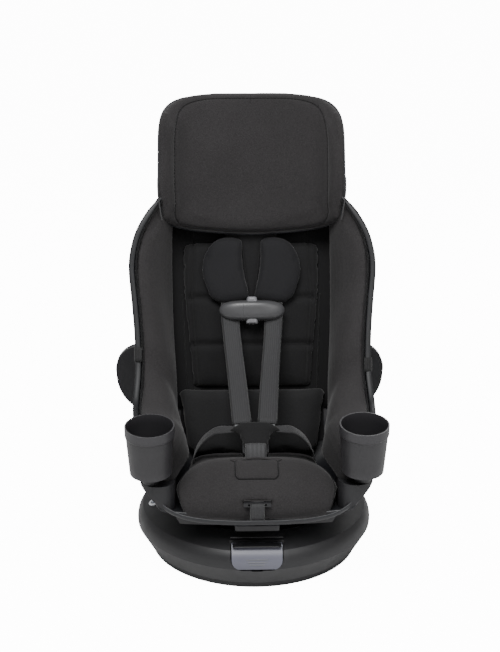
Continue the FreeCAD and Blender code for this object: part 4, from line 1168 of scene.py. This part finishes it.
def make_webbing_tabs():
    """A short ribbed tab on each rim: the cover's fastening loops."""
    for label, side, height in (("right", -1, 172), ("left", 1, 150)):
        centre = back(side * 213, height, 134)
        path = [centre + UP_BACK * (v * MM) for v in (-13, -8, 0, 8, 13)]
        frames = [Vector((side, 0.2, 0))] * 5, [FORWARD_BACK] * 5
        strap(f"cover_tab_{label}", path, 15.0, frames, 3.0, TAB_LOOK, "seat")


# ------------------------------------------------------------------ plastics
def make_handle_trim():
    """The slim brow above the recline handle, a dark plate of painted shade on the handle's top under the brow,
    and three raised ridges.
    """
    cordline("handle_brow", [[at(x, -190.5, 96.2) for x in range(-46, 47, 4)]], 1.3, SLOT_LOOKS["base_plastic"],
             "base")
    # painted shade: a thin dark plate laid on the handle's top, where the brow's shadow falls
    face = resample(round_corners([(-42.5, -199, 2), (42.5, -199, 2), (42.5, -216, 3), (-42.5, -216, 3)]), 60)
    plate("handle_top_painted_shade", face, at, lambda x, y, f: 90.2 + 1.1 * edge_round(f, 12.0),
          lambda x, y, f: 90.05, SLOT_LOOKS["dark_plastic"], "recline_handle", rings=5)
    handle, low = frame["nodes"]["recline_handle"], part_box("recline_handle")[0]
    runs = []
    for k in range(3):
        half, z = (13 + 3 * k) * MM, low.z + (12 + 4.5 * k) * MM
        runs.append(laid_on(handle, [Vector((half * (j / 6 - 1), low.y, z)) for j in range(13)], -FRONT))
    cordline("handle_ridges", runs, 0.9, SLOT_LOOKS["grey_plastic"], "recline_handle")


# ------------------------------------------------------------------ stage, light and camera
SKY_SEEN, SKY_LIT, FLOOR_SEEN, FLOOR_LIT = 14.0, 0.32, 13.0, 0.0


def make_stage():
    """A wide round floor of pale paper, without an edge in sight."""
    mesh = bpy.data.meshes.new("floor")
    size, count = 40.0, 96
    angles = [2 * math.pi * k / count for k in range(count)]
    mesh.from_pydata([(size * math.cos(a), size * math.sin(a), 0) for a in angles], [], [tuple(range(count))])
    n = Nodes("studio_paper")
    n.finish(Base_Color=n.ramp(n.noise(2.0), [(0.3, grey(0.80)), (0.7, grey(0.82))]), Roughness=0.9,
             Emission_Color=grey(1), Emission_Strength=seen_or_lit(n.tree, FLOOR_SEEN, FLOOR_LIT))
    mesh.materials.append(n.material)
    placed("floor", mesh)


def area_light(name, place, target, size, energy):
    data = bpy.data.lights.new(name, "AREA")
    data.shape, data.size, data.size_y, data.energy = "RECTANGLE", size[0], size[1], energy
    lamp = placed(name, data)
    lamp.location = place
    lamp.rotation_euler = (Vector(target) - Vector(place)).to_track_quat("-Z", "Y").to_euler()


def seen_or_lit(tree, seen, lit):
    """A strength of seen where the camera looks straight at a surface, and of lit for all other light."""
    path = tree.nodes.new("ShaderNodeLightPath")
    scale = tree.nodes.new("ShaderNodeMath")
    scale.operation = "MULTIPLY_ADD"
    scale.inputs[1].default_value, scale.inputs[2].default_value = seen - lit, lit
    tree.links.new(path.outputs["Is Camera Ray"], scale.inputs[0])
    return scale.outputs[0]


def make_light():
    area_light("key", (-0.5, -1.8, 3.2), (0, 0, 0.35), (1.8, 1.4), 125)
    area_light("fill", (1.5, -2.1, 2.2), (0, 0, 0.4), (1.4, 1.4), 24)
    area_light("rear", (0.4, 2.2, 2.4), (0, 0, 0.4), (2.0, 1.6), 40)
    world = bpy.data.worlds.new("studio")
    world.use_nodes = True
    background = world.node_tree.nodes["Background"]
    background.inputs["Color"].default_value = (1, 1, 1, 1)
    tree = world.node_tree
    tree.links.new(seen_or_lit(tree, SKY_SEEN, SKY_LIT), background.inputs["Strength"])
    bpy.context.scene.world = world


CAMERA_PITCH, CAMERA_YAW = math.radians(17.5), math.radians(1.4)
FOCAL_PX, FRAME_PX, SENSOR_MM = 1200, 652, 36


def make_camera():
    data = bpy.data.cameras.new("camera")
    data.sensor_fit, data.sensor_height, data.sensor_width = "VERTICAL", SENSOR_MM, SENSOR_MM
    data.lens = SENSOR_MM * FOCAL_PX / FRAME_PX
    camera = placed("camera", data)
    camera.location = at(-57.6, -2071, 1075)
    camera.rotation_euler = (math.pi / 2 - CAMERA_PITCH, 0, -CAMERA_YAW)
    bpy.context.scene.camera = camera


def main():
    dress_frame()
    make_shell()
    make_rims()
    make_front_lip()
    for label, side in (("left", 1), ("right", -1)):
        make_bolster(label, side)
        make_bolster_seams(label, side)
    make_headrest()
    make_back_pad()
    make_side_liners()
    make_hip_pad()
    cushion = make_cushion()
    make_cushion_details(cushion)
    make_shoulder_straps()
    make_lap_straps()
    make_harness_covers()
    make_throat_panel()
    make_chest_clip()
    make_buckle_cover()
    make_adjuster()
    make_webbing_tabs()
    make_handle_trim()
    make_stage()
    make_light()
    make_camera()


main()
